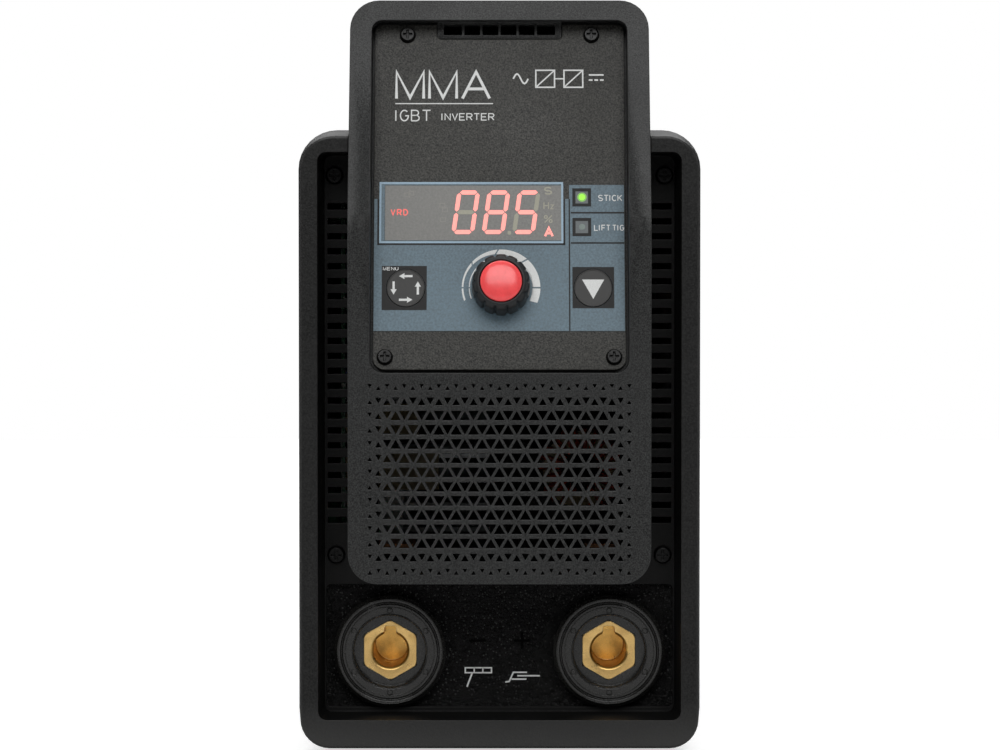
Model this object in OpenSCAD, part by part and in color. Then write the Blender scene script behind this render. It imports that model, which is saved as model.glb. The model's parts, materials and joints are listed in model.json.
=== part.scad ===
// Stick welding inverter: a tall portable power source with a looped front frame,
// a leaning control panel, two output sockets and a carrying handle.
// Origin: on the floor, under the middle of the whole machine. The front looks along -Y.

/* [Case] */
// Width across the front rim
rim_w = 148.8; // [140:0.4:156]
// Height of the front rim
rim_h = 228.4; // [222:0.4:236]
// Overall length, from the knob to the rear rim
overall_d = 320; // [310:1:360]
// Depth of each bezel
bezel_d = 34; // [32:1:38]
// Width of the rim beside the recess
rim_side = 6.6; // [6:0.1:8]
// Sheet steel thickness of the cover and the base
sheet_t = 1.2; // [0.8:0.1:1.5]

/* [Front frame] */
// Width of the looped frame
loop_w = 112; // [108:0.5:114]
// Top of the loop above the floor
loop_top = 285.4; // [282:0.2:292]
// How far the frame stands in front of the rim
loop_proud = 12; // [11:0.5:14]
// Width of the loop's legs
leg_w = 8.1; // [7.5:0.1:9]
// Lean of the loop above its knee, in degrees
loop_lean = 18; // [16:0.5:20]

/* [Control panel] */
// Lean of the control panel, in degrees
panel_lean = 13; // [12:0.5:14]
// Width of the control panel
panel_w = 93.8; // [90:0.2:94]
// Diameter of the control knob
knob_d = 21.8; // [18:0.2:24]
// Distance from the panel's middle to each push button
button_x = 34.8; // [32:0.2:36]
// Diameter of a push button
button_d = 14.2; // [12:0.2:15]

/* [Output sockets] */
// Distance from the middle to each socket
socket_x = 41.6; // [38:0.2:43]
// Height of the sockets above the floor
socket_z = 39.5; // [38:0.2:42]
// Bore that takes the cable plug
socket_bore = 13; // [9:1:13]

/* [Carrying handle] */
// Width of the grip
grip_w = 34; // [28:1:38]
// Thickness of the grip
grip_t = 21; // [18:0.5:23]

/* [Grille] */
// Number of rows of triangular holes
grille_rows = 14; // [8:1:14]
// Number of holes in a row
grille_cols = 31; // [15:2:31]

/* [Hidden] */
$fn = 48;
thin = 0.01;
wall = 3;
case_black = [0.10, 0.10, 0.105];
board_green = [0.10, 0.32, 0.18];
zinc = [0.72, 0.72, 0.70];
brass = [0.80, 0.62, 0.30];
copper = [0.78, 0.45, 0.28];
blue_film = [0.32, 0.40, 0.46];

// Rim and bezels
rim_z = 5.4;
rim_top = rim_z + rim_h;
flare = 2.4;
flare_top = 3.8;
rim_edge = 0.8;
rim_foot = 10.6;
rim_head = 5.9;
recess_d = 24;
recess_half = rim_w / 2 - rim_side;
recess_z = [rim_z + rim_foot, rim_top - rim_head];
recess_draft = 1.4;
bay_half = 66;
bay_z = [18, 64.8];
bay_step = 2.5;
bay_face = recess_d + bay_step;
face_back = recess_d + wall;
bay_back = face_back + bay_step;

// Knob on the leaning panel, measured along the panel and out from it
panel_y = -10;
panel_z = 143;
knob_x = 0.6;
knob_v = 35.3;
knob_r = knob_d / 2;
cap_r = 7.75;
cap_edge = 12.2;
cap_crown = 13;
cap_chamfer = 0.3;

// Depths, all measured back from the front rim
front_y = panel_y + (knob_v - cap_r + cap_chamfer) * sin(panel_lean) - cap_edge * cos(panel_lean);
case_d = overall_d + front_y;
rim_y = -overall_d / 2 - front_y;
rear_face = case_d - 20.4;
rear_inner = rear_face - wall;

// Sheet metal
cover_half = 73.5;
cover_top = 233.6;
cover_foot = 17;
cover_r = 9.2;
pan_half = cover_half - sheet_t - 0.1;
pan_z = 6.4;
pan_r = 8.5;
pan_flange = 34;
pan_y = [30, rear_inner - 3];
lip_gap = 0.4;
chassis_y = [60, 247];
chassis_top = 218;
tab_half = 5;
side_banks = [84, 168];
side_slots = 5;
side_slot_l = 52;
side_slot_h = 3;
side_slot_z = 37;
side_slot_pitch = 7.5;
lead_slot = [[-30, 30], [38, 56]];

// Fasteners
screw_head_r = 3.5;
screw_head_h = 2.4;
screw_r = 1.7;
front_screws_at = [[62, 76], [62.5, 220]];
rear_screws_at = [[62.5, 26], [62.5, 220]];
cover_screws_y = [56, 152, 246];
cover_screw_z = 25;
feet_at = [[52, 60], [52, 245]];

// Louvres beside the frame
louvre_count = 22;
louvre_pitch = 5.67;
louvre_h = 2.4;
louvre_z = 88;
louvre_x = [51.5, 65.2];

// Looped frame
loop_z = 68;
loop_r = 10.9;
knee_z = 201;
knee_r = 24;
window_z = [146, 277.8];
window_half = loop_w / 2 - leg_w;
ledge_t = 3;
notch_gap = 0.3;

// Panel stack: v runs up the panel, w out of it
panel_v = [4.3, 137.2];
panel_t = 2.5;
film_t = 0.25;
panel_screws_at = [[42.4, 9], [34.6, 133]];
tongue_half = 23.4;
tongue_v = 131.7;
tongue_gap = 0.3;
rib_count = 7;
rib_pitch = 6.7;
rib_t = 1.3;
glass_x = [-42.8, 23.3];
glass_v = [53.3, 74.6];
led_at = [[30.7, 69.9], [30.7, 58.5]];
led_hole = 6;
button_v = 35.2;
button_gap = 0.2;
board_w = -12;
board_t = 1.6;
board_v = [16, 84];
board_half = 42;
bushing_r = 4.4;
shaft_r = 3;
shaft_gap = 0.05;
nut_top = 2.2;
key_flange_r = 8.2;
key_flange_t = 1.6;
key_rest = 0.1;
key_stem_end = -6.6;
tact_top = -7.25;

// Sockets, as depths behind the rim
collar_r = 21.3;
collar_front = 20;
barrel_r = 17;
barrel_end = 44;
pocket_r = 13.6;
hex_face = 24.6;
hex_flat = 20;
hex_end = 32;
insert_r = 9;
insert_end = 49;
bore_end = 46.6;
key_w = 4.5;
key_top = 9.2;
key_depth = 12;
stud_r = 6;
stud_end = 64;
bus_t = 3;
bus_half = 8;

// Tower behind the loop, and the handle
tower_end = 64;
tower_gap = 0.2;
grip_end = 262;
foot_start = 226;
foot_half = 27.5;
foot_t = 5;
foot_bolt_x = 22.2;
foot_bolt_y = 244;

// Rear fittings
fan_half = 59.5;
fan_z = 92;
fan_t = 25.4;
fan_hole_r = 57.5;
fan_pitch = 52.5;
fan_front = rear_inner - fan_t;
rotor_r = 54;
hub_r = 19.5;
blade_count = 7;
switch_at = [-32, 190];
switch_size = [28, 21.6];
rocker_pivot_y = rear_face - 4;
pivot_r = 1.25;
rocker_tilt = 10;
gland_at = [32, 190];
gland_r = 9.9;
cable_r = 5.2;
earth_at = [58, 172];
earth_r = 3;

// Inner parts
board_x = -60.4;
main_board_t = 1.6;
main_board_y = [62, 245];
main_board_z = [30, 215];
choke_at = [32, 66, 106];
choke_r = [9, 15];
choke_t = 14;
winding_t = 2;
turn_gap = 50;
core_box = [[5, 160, pan_z + sheet_t], [50, 40, 56]];
core_leg = 7;
core_post = 16;
coil_out = 8;
coil_gap = 0.5;

// ---- Shared shapes ----

function arc(c, r, a0, a1, n = 8) =
    [for (i = [0:n]) let (a = a0 + (a1 - a0) * i / n) c + r * [cos(a), sin(a)]];

function corner(c, r, a0) = r > 0 ? arc(c, r, a0, a0 + 90) : [c];

function round_rect(x0, x1, y0, y1, r_low, r_high) = concat(
    corner([x1 - r_low, y0 + r_low], r_low, -90),
    corner([x1 - r_high, y1 - r_high], r_high, 0),
    corner([x0 + r_high, y1 - r_high], r_high, 90),
    corner([x0 + r_low, y0 + r_low], r_low, 180));

// Everything is drawn with y = 0 at the front rim, then moved to the machine's middle.
module place() translate([0, rim_y, 0]) children();

// Extrudes an outline in x and z, from depth y0 to y1.
module slab(y0, y1) translate([0, y1, 0]) rotate([90, 0, 0]) linear_extrude(y1 - y0) children();

// Extrudes an outline in y and z, from x0 to x1.
module along_x(x0, x1) translate([x0, 0, 0]) rotate([90, 0, 90]) linear_extrude(x1 - x0) children();

module block(x, y, z) translate([x[0], y[0], z[0]]) cube([x[1] - x[0], y[1] - y[0], z[1] - z[0]]);

// Turns a shape made along z so that it runs back along y.
module at_y(p, y) translate([p[0], y, p[1]]) rotate([-90, 0, 0]) children();

module rod_y(p, y0, y1, r) at_y(p, y0) cylinder(r = r, h = y1 - y0);

module rod_x(x0, x1, y, z, r) translate([x0, y, z]) rotate([0, 90, 0]) cylinder(r = r, h = x1 - x0);

module both_sides() for (s = [0, 1]) mirror([s, 0, 0]) children();

// Local frame of the leaning panel: x across, y up the panel, z out of it.
module on_panel(w = 0) translate([0, panel_y, panel_z]) rotate([90 - panel_lean, 0, 0])
    translate([0, 0, w]) children();

module plate(x, v, t, r_low = 0, r_high = 0)
    linear_extrude(t) polygon(round_rect(x[0], x[1], v[0], v[1], r_low, r_high));

module pan_screw(head_r, head_h, r, length) {
    cylinder(r = r, h = length);
    difference() {
        translate([0, 0, -head_h]) cylinder(r1 = head_r * 0.78, r2 = head_r, h = head_h);
        for (a = [0, 90]) rotate(a) translate([-head_r * 0.55, -head_r * 0.13, -head_h - thin])
            cube([head_r * 1.1, head_r * 0.26, head_h * 0.6]);
    }
}

module hex_prism(flat, h) cylinder(d = flat / cos(30), h = h, $fn = 6);

// ---- Front bezel ----

module rim_outline(grow, grow_top) polygon(round_rect(-rim_w / 2 - grow, rim_w / 2 + grow,
    rim_z - grow, rim_top + grow_top, 11 + grow, 12.5 + grow));

module bezel_block() hull() {
    slab(0, thin) rim_outline(-rim_edge, -rim_edge);
    slab(rim_edge, rim_edge + thin) rim_outline(0, 0);
    slab(bezel_d - thin, bezel_d) rim_outline(flare, flare_top);
}

module recess_block(depth) hull() {
    slab(-1, -1 + thin) polygon(round_rect(-recess_half, recess_half,
        recess_z[0], recess_z[1], 3.4, 3.4));
    slab(depth - thin, depth) polygon(round_rect(-recess_half + recess_draft,
        recess_half - recess_draft, recess_z[0] + 0.2, recess_z[1] - 0.5, 3, 3));
}

// Room for the sheet metal behind a bezel's face.
module cover_room(y0, y1) slab(y0, y1) polygon(round_rect(-cover_half - lip_gap,
    cover_half + lip_gap, pan_z - 0.2, cover_top + lip_gap, 10, cover_r + lip_gap));

module front_bezel() color(case_black) place() difference() {
    bezel_block();
    recess_block(recess_d);
    slab(recess_d - thin, bay_face)
        polygon(round_rect(-bay_half, bay_half, bay_z[0], bay_z[1], 2, 2));
    difference() {
        cover_room(face_back, bezel_d + 1);
        block([-71, 71], [face_back - 1, bay_back], [pan_z + 6, bay_z[1] + wall]);
    }
    block([-46, 46], [recess_d - 1, face_back + 1], [loop_z + 8, 222]);
    both_sides() for (i = [0:louvre_count - 1])
        block(louvre_x, [recess_d - 1, face_back + 1],
            [louvre_z + i * louvre_pitch, louvre_z + i * louvre_pitch + louvre_h]);
    block([-loop_w / 2 - notch_gap, loop_w / 2 + notch_gap], [-1, recess_d],
        [recess_z[1] - 2, rim_top + flare_top + 1]);
    both_sides() rod_y([socket_x, socket_z], bay_face - 1, bay_back + 1, barrel_r + 0.1);
    both_sides() for (p = front_screws_at) rod_y(p, recess_d - 1, face_back + 1, screw_r + 0.1);
}

// ---- Looped front frame with its grille ----

loop_back = recess_d;
loop_rise = loop_top - knee_z;
loop_head_y = -loop_proud + loop_rise * tan(loop_lean);
knee_step = knee_r * tan(loop_lean / 2);

// Side view of the frame: upright plate, bent knee and leaning loop.
function loop_side() = concat(
    [[-loop_proud, loop_z]],
    arc([-loop_proud + knee_r, knee_z - knee_step], knee_r, 180, 180 - loop_lean, 6),
    [[loop_head_y, loop_top], [loop_back, loop_top], [loop_back, loop_z]]);

// One triangular hole of side a about its centre.
function triangle(c, a, up) = [for (k = [0:2]) c + a / sqrt(3) * (up ? 1 : -1)
    * [sin(120 * k), cos(120 * k)]];

grille_pitch = 3.19;
grille_row = 5.25;
grille_hole = 4.2;
grille_low = loop_z + 4.6;
grille_edge = 0.42;
grille_step = 0.17;

// Holes shrink towards the edge of the pattern.
function hole_scale(i, j) = min(1, grille_edge + grille_step
    * min(i, grille_cols - 1 - i, 1.6 * j, 1.6 * (grille_rows - 1 - j)));

function grille_centre(i, j, up) = [(i - (grille_cols - 1) / 2) * grille_pitch,
    grille_low + j * grille_row + (up ? -1 : 1) * grille_hole / (4 * sqrt(3))];

module grille_holes() {
    cells = [for (j = [0:grille_rows - 1], i = [0:grille_cols - 1]) let (up = (i + j) % 2 == 0)
        triangle(grille_centre(i, j, up), grille_hole * hole_scale(i, j), up)];
    polygon([for (c = cells) each c],
        [for (n = [0:len(cells) - 1]) [3 * n, 3 * n + 1, 3 * n + 2]]);
}

module front_frame() color(case_black) place() difference() {
    union() {
        difference() {
            intersection() {
                along_x(-loop_w / 2, loop_w / 2) polygon(loop_side());
                slab(-40, 60) polygon(round_rect(-loop_w / 2, loop_w / 2, loop_z, loop_top,
                    loop_r, loop_r));
            }
            // window down to the panel's back
            intersection() {
                slab(-40, 60) polygon(round_rect(-window_half, window_half,
                    window_z[0], window_z[1], 5, 4));
                on_panel(-panel_t) block([-60, 60], [-10, 150], [0, 60]);
            }
            // hollow behind the plate, the ledge and the top bar
            slab(-loop_proud + wall, loop_back + 1)
                polygon(round_rect(-loop_w / 2 + wall, loop_w / 2 - wall,
                    loop_z + wall, window_z[0] - 5, 8, 0));
            intersection() {
                slab(-20, loop_back + 1) polygon(round_rect(-loop_w / 2 + wall,
                    loop_w / 2 - wall, window_z[0] - 6, loop_top - wall, 0, 8));
                on_panel(-panel_t - ledge_t) block([-60, 60], [-20, 160], [-60, 0]);
            }
            on_panel(-panel_t - ledge_t - 1) plate([-43.6, 43.6], [14, 128], ledge_t + 2);
        }
        // tongue that fills the notch at the panel's top
        on_panel(-panel_t) plate([-tongue_half, tongue_half], [tongue_v, panel_v[1] + 1.4],
            panel_t - 0.2, 1.5, 0);
    }
    slab(-loop_proud - 1, -loop_proud + wall + 1) grille_holes();
    on_panel(-panel_t - ledge_t - 1) for (i = [0:rib_count - 2])
        translate([(i - (rib_count - 1) / 2) * rib_pitch + rib_t / 2, tongue_v + 1.9, 0])
            cube([rib_pitch - rib_t, 3.9, panel_t + ledge_t + 2]);
    on_panel(-panel_t - ledge_t - 1) both_sides() for (p = panel_screws_at)
        translate(p) cylinder(r = 1.3, h = ledge_t + 2);
}

// ---- Control panel and what it carries ----

module control_panel() color(case_black) place() on_panel(-panel_t) difference() {
    plate([-panel_w / 2, panel_w / 2], panel_v, panel_t, 4.5, 3);
    translate([0, 0, -1]) {
        plate([-tongue_half - tongue_gap, tongue_half + tongue_gap],
            [tongue_v - tongue_gap, panel_v[1] + 1], panel_t + 2, 1.8, 0);
        plate(glass_x, glass_v, panel_t + 2);
        for (p = led_at) translate([p[0] - led_hole / 2, p[1] - led_hole / 2, 0])
            cube([led_hole, led_hole, panel_t + 2]);
        translate([knob_x, knob_v, 0]) cylinder(r = bushing_r + 0.1, h = panel_t + 2);
        both_sides() translate([button_x, button_v, 0])
            cylinder(r = button_d / 2 + button_gap, h = panel_t + 2);
        both_sides() for (p = panel_screws_at) translate(p) cylinder(r = 1.6, h = panel_t + 2);
    }
}

module panel_overlay() color(blue_film) place() on_panel() difference() {
    union() {
        plate([-46.7, 46.5], [18.9, 69.3], film_t);
        plate([-44.8, 23.8], [52.3, 75.8], film_t);
        plate([26, 46.5], [52.3, 74.7], film_t);
    }
    translate([0, 0, -1]) {
        plate(glass_x, glass_v, film_t + 2);
        for (p = led_at) translate([p[0] - led_hole / 2, p[1] - led_hole / 2, 0])
            cube([led_hole, led_hole, film_t + 2]);
        translate([knob_x, knob_v, 0]) cylinder(r = 7, h = film_t + 2);
        both_sides() translate([button_x, button_v, 0])
            cylinder(r = button_d / 2 + button_gap, h = film_t + 2);
    }
}

module display_window() color([0.35, 0.33, 0.32]) place()
    on_panel(-panel_t + 0.1) plate(glass_x + [0.1, -0.1], glass_v + [0.1, -0.1], panel_t - 0.1 + film_t);

module display_module() color([0.15, 0.15, 0.15]) place()
    on_panel(board_w) plate(glass_x + [0.4, -0.4], glass_v + [0.4, -0.4], -panel_t - board_w);

module mode_leds() color([0.45, 0.9, 0.1]) place() on_panel(board_w) for (p = led_at)
    translate(p) rotate_extrude() polygon(concat([[0, 0], [1.9, 0], [1.9, 1], [1.5, 1]],
        arc([0, 9.4], 1.5, 0, 90, 6)));

module control_board() color(board_green) place()
    on_panel(board_w - board_t) plate([-board_half, board_half], board_v, board_t);

module tact_switches() color([0.12, 0.12, 0.12]) place() on_panel(board_w)
    both_sides() translate([button_x, button_v, 0]) {
        translate([-3, -3, 0]) cube([6, 6, 3.8]);
        cylinder(r = 1.7, h = tact_top - board_w);
    }

module encoder_body() color([0.6, 0.6, 0.6]) place()
    on_panel(board_w) translate([knob_x, knob_v, 0]) difference() {
        union() {
            translate([-6, -6.2, 0]) cube([12, 12.4, 6.5]);
            cylinder(r = bushing_r, h = nut_top - board_w);
        }
        translate([0, 0, 2.7]) cylinder(r = shaft_r + shaft_gap, h = 20);
    }

module encoder_nut() color(zinc) place() on_panel() translate([knob_x, knob_v, 0]) difference() {
    hex_prism(11, nut_top - 0.2);
    translate([0, 0, -1]) cylinder(r = bushing_r + 0.02, h = 5);
}

knob_low = 0.9;
knob_hollow = 3;
knob_shoulder = 9.5;
knob_lip = 11.6;
knob_seat = 10.7;
knob_notches = 12;

module encoder_shaft() color([0.75, 0.75, 0.73]) place()
    on_panel(-9) translate([knob_x, knob_v, 0]) cylinder(r = shaft_r, h = knob_seat - 0.5 + 9);

module knob_body() color([0.13, 0.13, 0.13]) place()
    on_panel() translate([knob_x, knob_v, 0]) difference() {
        rotate_extrude() polygon([[shaft_r, knob_hollow], [7.2, knob_hollow], [7.2, knob_low],
            [knob_r, knob_low], [knob_r, 2], [knob_r - 0.4, knob_shoulder], [8.9, knob_lip],
            [cap_r + 0.1, knob_lip], [cap_r + 0.1, knob_seat], [shaft_r, knob_seat]]);
        for (i = [0:knob_notches - 1]) rotate(i * 360 / knob_notches + 15)
            translate([knob_r + 0.6, 0, 2]) cylinder(r = 1.7, h = 12);
    }

// The crown is a shallow dome through its edge and its middle.
crown_half = cap_r - cap_chamfer;
crown_rise = cap_crown - cap_edge;
crown_r = (crown_half * crown_half + crown_rise * crown_rise) / (2 * crown_rise);

module knob_cap() color([0.85, 0.20, 0.22]) place()
    on_panel() translate([knob_x, knob_v, 0]) rotate_extrude() polygon(concat(
        [[0, knob_seat], [cap_r, knob_seat], [cap_r, cap_edge - cap_chamfer]],
        arc([0, cap_crown - crown_r], crown_r, 90 - asin(crown_half / crown_r), 90, 8)));

// A key that slides in the panel: face, flange behind the panel, and stem.
module push_key() {
    face_w = 0.35;
    flange_w = -panel_t - key_rest - key_flange_t;
    rotate_extrude() polygon([[0, key_stem_end], [2.2, key_stem_end], [2.2, flange_w],
        [key_flange_r, flange_w], [key_flange_r, flange_w + key_flange_t],
        [button_d / 2, flange_w + key_flange_t], [button_d / 2, face_w - 0.3],
        [button_d / 2 - 0.3, face_w], [0, face_w]]);
}

module menu_button() color([0.12, 0.12, 0.12]) place()
    on_panel() translate([-button_x, button_v, 0]) push_key();

module select_button() color([0.12, 0.12, 0.12]) place()
    on_panel() translate([button_x, button_v, 0]) push_key();

module panel_screws() color([0.08, 0.08, 0.08]) place()
    on_panel() both_sides() for (p = panel_screws_at)
        translate(p) rotate([180, 0, 0]) pan_screw(3.1, 1.9, 1.3, panel_t + ledge_t + 1);

// ---- Tower behind the loop, and the carrying handle ----

tower_foot = [rim_top + flare_top + tower_gap, cover_top];

module tower_solid(inset) intersection() {
    along_x(-loop_w / 2 + inset, loop_w / 2 - inset) polygon([[recess_d, tower_foot[0] - 5 * inset],
        [bezel_d + tower_gap, tower_foot[0] - 5 * inset],
        [bezel_d + tower_gap, tower_foot[1] - 5 * inset],
        [tower_end - inset, tower_foot[1] - 5 * inset],
        [tower_end - inset, loop_top - inset], [recess_d - inset, loop_top - inset]]);
    slab(recess_d - 5, tower_end) polygon(round_rect(-loop_w / 2 + inset, loop_w / 2 - inset,
        tower_foot[1] - 20, loop_top - inset, 0, loop_r - inset));
}

module console_shell() color(case_black) place() difference() {
    tower_solid(0);
    tower_solid(wall);
    both_sides() rod_y([9, loop_top - grip_t / 2], tower_end - wall - 1, tower_end + 1, 2.1);
}

// Side view of the handle: grip, rear bend and foot.
function grip_side() = concat(
    [[tower_end, loop_top - grip_t], [tower_end, loop_top]],
    arc([grip_end - 30, loop_top - 30], 30, 90, 0),
    [[grip_end, cover_top], [foot_start + 8, cover_top]],
    arc([foot_start - 10, loop_top - grip_t - 18], 18, 0, 90));

module carry_handle() color(case_black) place() difference() {
    union() {
        along_x(-grip_w / 2, grip_w / 2) polygon(grip_side());
        translate([0, 0, cover_top]) linear_extrude(foot_t)
            polygon(round_rect(-foot_half, foot_half, foot_start, grip_end, 5, 5));
    }
    both_sides() translate([foot_bolt_x, foot_bolt_y, cover_top - 1])
        cylinder(r = 2.6, h = foot_t + 2);
    both_sides() rod_y([9, loop_top - grip_t / 2], tower_end - 1, tower_end + 12, 2);
}

module handle_screws() color([0.15, 0.15, 0.15]) place() both_sides() {
    translate([foot_bolt_x, foot_bolt_y, cover_top + foot_t]) rotate([180, 0, 0])
        pan_screw(4.4, 2.8, 2.5, foot_t + sheet_t + 6);
    at_y([9, loop_top - grip_t / 2], tower_end - wall) pan_screw(4, 2.4, 2, wall + 11);
}

// ---- Output sockets ----

module collar() difference() {
    rotate_extrude() polygon([[insert_r + 0.05, collar_front + 12], [insert_r + 0.05, barrel_end],
        [barrel_r, barrel_end], [barrel_r, bay_face], [collar_r, bay_face],
        [collar_r, collar_front + 1.5], [collar_r - 1.5, collar_front],
        [18.9, collar_front], [18.7, collar_front + 0.7], [18.1, collar_front + 0.7],
        [17.9, collar_front], [pocket_r + 0.8, collar_front], [pocket_r, collar_front + 0.8],
        [pocket_r, hex_face], [insert_r + 0.05, hex_face]]);
    translate([0, 0, hex_face - thin]) rotate(90) hex_prism(hex_flat + 0.1, hex_end - hex_face + 0.02);
    for (a = [30:60:330]) rotate(a) translate([15.7, 0, collar_front - 1]) cylinder(r = 1, h = 1.3);
}

module insert() difference() {
    union() {
        translate([0, 0, hex_face]) rotate(90) hex_prism(hex_flat, hex_end - hex_face);
        translate([0, 0, hex_end - 1]) cylinder(r = insert_r, h = insert_end - hex_end + 1);
        translate([0, 0, insert_end - 1]) cylinder(r = stud_r, h = stud_end - insert_end + 1);
    }
    translate([0, 0, hex_face - 1]) cylinder(d = socket_bore, h = bore_end - hex_face + 1);
    translate([0, 0, hex_face - thin])
        cylinder(r1 = socket_bore / 2 + 0.9, r2 = socket_bore / 2 - 0.1, h = 1);
    // the bayonet's keyway, at the top of the bore
    translate([-key_w / 2, -key_top, hex_face - 1]) cube([key_w, key_top, key_depth + 1]);
}

module negative_collar() color(case_black) place() at_y([-socket_x, socket_z], 0) collar();
module positive_collar() color(case_black) place() at_y([socket_x, socket_z], 0) collar();
module negative_insert() color(brass) place() at_y([-socket_x, socket_z], 0) insert();
module positive_insert() color(brass) place() at_y([socket_x, socket_z], 0) insert();

module socket_ring_nuts() color([0.2, 0.2, 0.2]) place() both_sides()
    at_y([socket_x, socket_z], bay_back) difference() {
        cylinder(r = 21, h = 6, $fn = 8);
        translate([0, 0, -1]) cylinder(r = barrel_r + 0.02, h = 8);
    }

module insert_nuts() color(brass) place() both_sides()
    at_y([socket_x, socket_z], insert_end + bus_t) difference() {
        hex_prism(19, 6);
        translate([0, 0, -1]) cylinder(r = stud_r + 0.02, h = 8);
    }

module output_busbars() color(copper) place() both_sides() difference() {
    union() {
        block([socket_x - bus_half, socket_x + bus_half], [insert_end, insert_end + bus_t],
            [socket_z - bus_half, 78]);
        block([socket_x - bus_half, socket_x + bus_half], [insert_end, 92], [78 - bus_t, 78]);
    }
    rod_y([socket_x, socket_z], insert_end - 1, insert_end + bus_t + 1, stud_r + 0.05);
}

// ---- Cover, base and feet ----

module cover_arch(inset, y0, y1) slab(y0, y1) polygon(round_rect(-cover_half + inset,
    cover_half - inset, cover_foot - (inset > 0 ? 1 : 0), cover_top - inset, 0, cover_r - inset));

module cover_tabs(points, y) both_sides() for (p = points)
    block([p[0] - tab_half, cover_half - sheet_t / 2], [y, y + sheet_t], [p[1] - 6, p[1] + 6]);

module top_cover() color([0.12, 0.12, 0.125]) place() difference() {
    union() {
        difference() {
            cover_arch(0, face_back, rear_inner);
            cover_arch(sheet_t, face_back - 1, rear_inner + 1);
        }
        cover_tabs(front_screws_at, face_back);
        cover_tabs(rear_screws_at, rear_inner - sheet_t);
    }
    both_sides() for (p = front_screws_at) rod_y(p, face_back - 1, face_back + 3, screw_r + 0.02);
    both_sides() for (p = rear_screws_at) rod_y(p, rear_inner - 3, rear_inner + 1, screw_r + 0.02);
    both_sides() for (y = cover_screws_y)
        rod_x(cover_half - 3, cover_half + 1, y, cover_screw_z, screw_r + 0.1);
    // side louvres, in two banks
    both_sides() for (bank = side_banks, i = [0:side_slots - 1])
        block([cover_half - 3, cover_half + 1], [bank, bank + side_slot_l],
            [side_slot_z + i * side_slot_pitch, side_slot_z + i * side_slot_pitch + side_slot_h]);
    block(lead_slot[0], lead_slot[1], [cover_top - 3, cover_top + 1]);
    both_sides() translate([foot_bolt_x, foot_bolt_y, cover_top - 3]) cylinder(r = 2.55, h = 5);
}

module pan_outline(inset) polygon(round_rect(-pan_half + inset, pan_half - inset,
    pan_z + inset, pan_flange + (inset > 0 ? 1 : 0), pan_r - inset, 0));

module base_pan() color([0.55, 0.56, 0.57]) place() difference() {
    union() {
        difference() {
            slab(pan_y[0], pan_y[1]) pan_outline(0);
            slab(pan_y[0] - 1, pan_y[1] + 1) pan_outline(sheet_t);
        }
        // the left flange rises to carry the main board
        block([-pan_half, -pan_half + sheet_t], chassis_y, [pan_flange - 1, chassis_top]);
        both_sides() for (p = feet_at) translate([p[0], p[1], pan_z]) cylinder(r = 4, h = 5);
        both_sides() for (y = cover_screws_y) rod_x(pan_half - 4, pan_half - 0.5, y, cover_screw_z, 3.5);
    }
    both_sides() for (p = feet_at) translate([p[0], p[1], pan_z - 1]) cylinder(r = 2.02, h = 8);
    both_sides() for (y = cover_screws_y)
        rod_x(pan_half - 5, pan_half + 1, y, cover_screw_z, screw_r + 0.02);
    for (bank = side_banks) block([-pan_half - 1, -pan_half + 3], [bank, bank + side_slot_l],
        [side_slot_z - 2, side_slot_z + side_slots * side_slot_pitch]);
}

module feet() color([0.07, 0.07, 0.07]) place() both_sides() for (p = feet_at)
    translate([p[0], p[1], 0]) rotate_extrude() polygon([[2.2, 3], [4.6, 3], [4.6, 0], [9, 0],
        [10.2, 1], [11, pan_z], [2.2, pan_z]]);

module foot_screws() color(zinc) place() both_sides() for (p = feet_at)
    translate([p[0], p[1], 3]) pan_screw(4, 2.2, 2, 11);

// ---- Rear panel and its fittings ----

module rear_panel() color(case_black) place() difference() {
    translate([0, case_d, 0]) mirror([0, 1, 0]) bezel_block();
    translate([0, case_d, 0]) mirror([0, 1, 0]) recess_block(case_d - rear_face);
    cover_room(case_d - bezel_d - 1, rear_inner);
    rod_y([0, fan_z], rear_inner - 1, rear_face + 1, fan_hole_r - 1);
    for (x = [-1, 1], z = [-1, 1])
        rod_y([x * fan_pitch, fan_z + z * fan_pitch], rear_inner - 1, rear_face + 1, 2.15);
    block([switch_at[0] - switch_size[0] / 2 - 0.1, switch_at[0] + switch_size[0] / 2 + 0.1],
        [rear_inner - 1, rear_face + 1],
        [switch_at[1] - switch_size[1] / 2 - 0.1, switch_at[1] + switch_size[1] / 2 + 0.1]);
    rod_y(gland_at, rear_inner - 1, rear_face + 1, gland_r + 0.1);
    rod_y(earth_at, rear_inner - 1, rear_face + 1, earth_r + 0.1);
    both_sides() for (p = rear_screws_at) rod_y(p, rear_inner - 1, rear_face + 1, screw_r + 0.1);
}

guard_wire = 1.1;

module fan_guard() color(zinc) place() translate([0, rear_face, fan_z]) difference() {
    union() {
        for (r = [14:10:54]) at_y([0, 0], guard_wire + 1.6) rotate_extrude()
            translate([r, 0]) circle(r = guard_wire);
        for (a = [45:90:315]) rotate([0, a, 0]) translate([14, guard_wire, 0])
            rotate([0, 90, 0]) cylinder(r = guard_wire, h = 57.5);
        for (x = [-1, 1], z = [-1, 1]) rod_y([x * fan_pitch, z * fan_pitch], 0, 2.2, 4.2);
    }
    for (x = [-1, 1], z = [-1, 1]) rod_y([x * fan_pitch, z * fan_pitch], -1, 4, 2.15);
}

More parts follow.
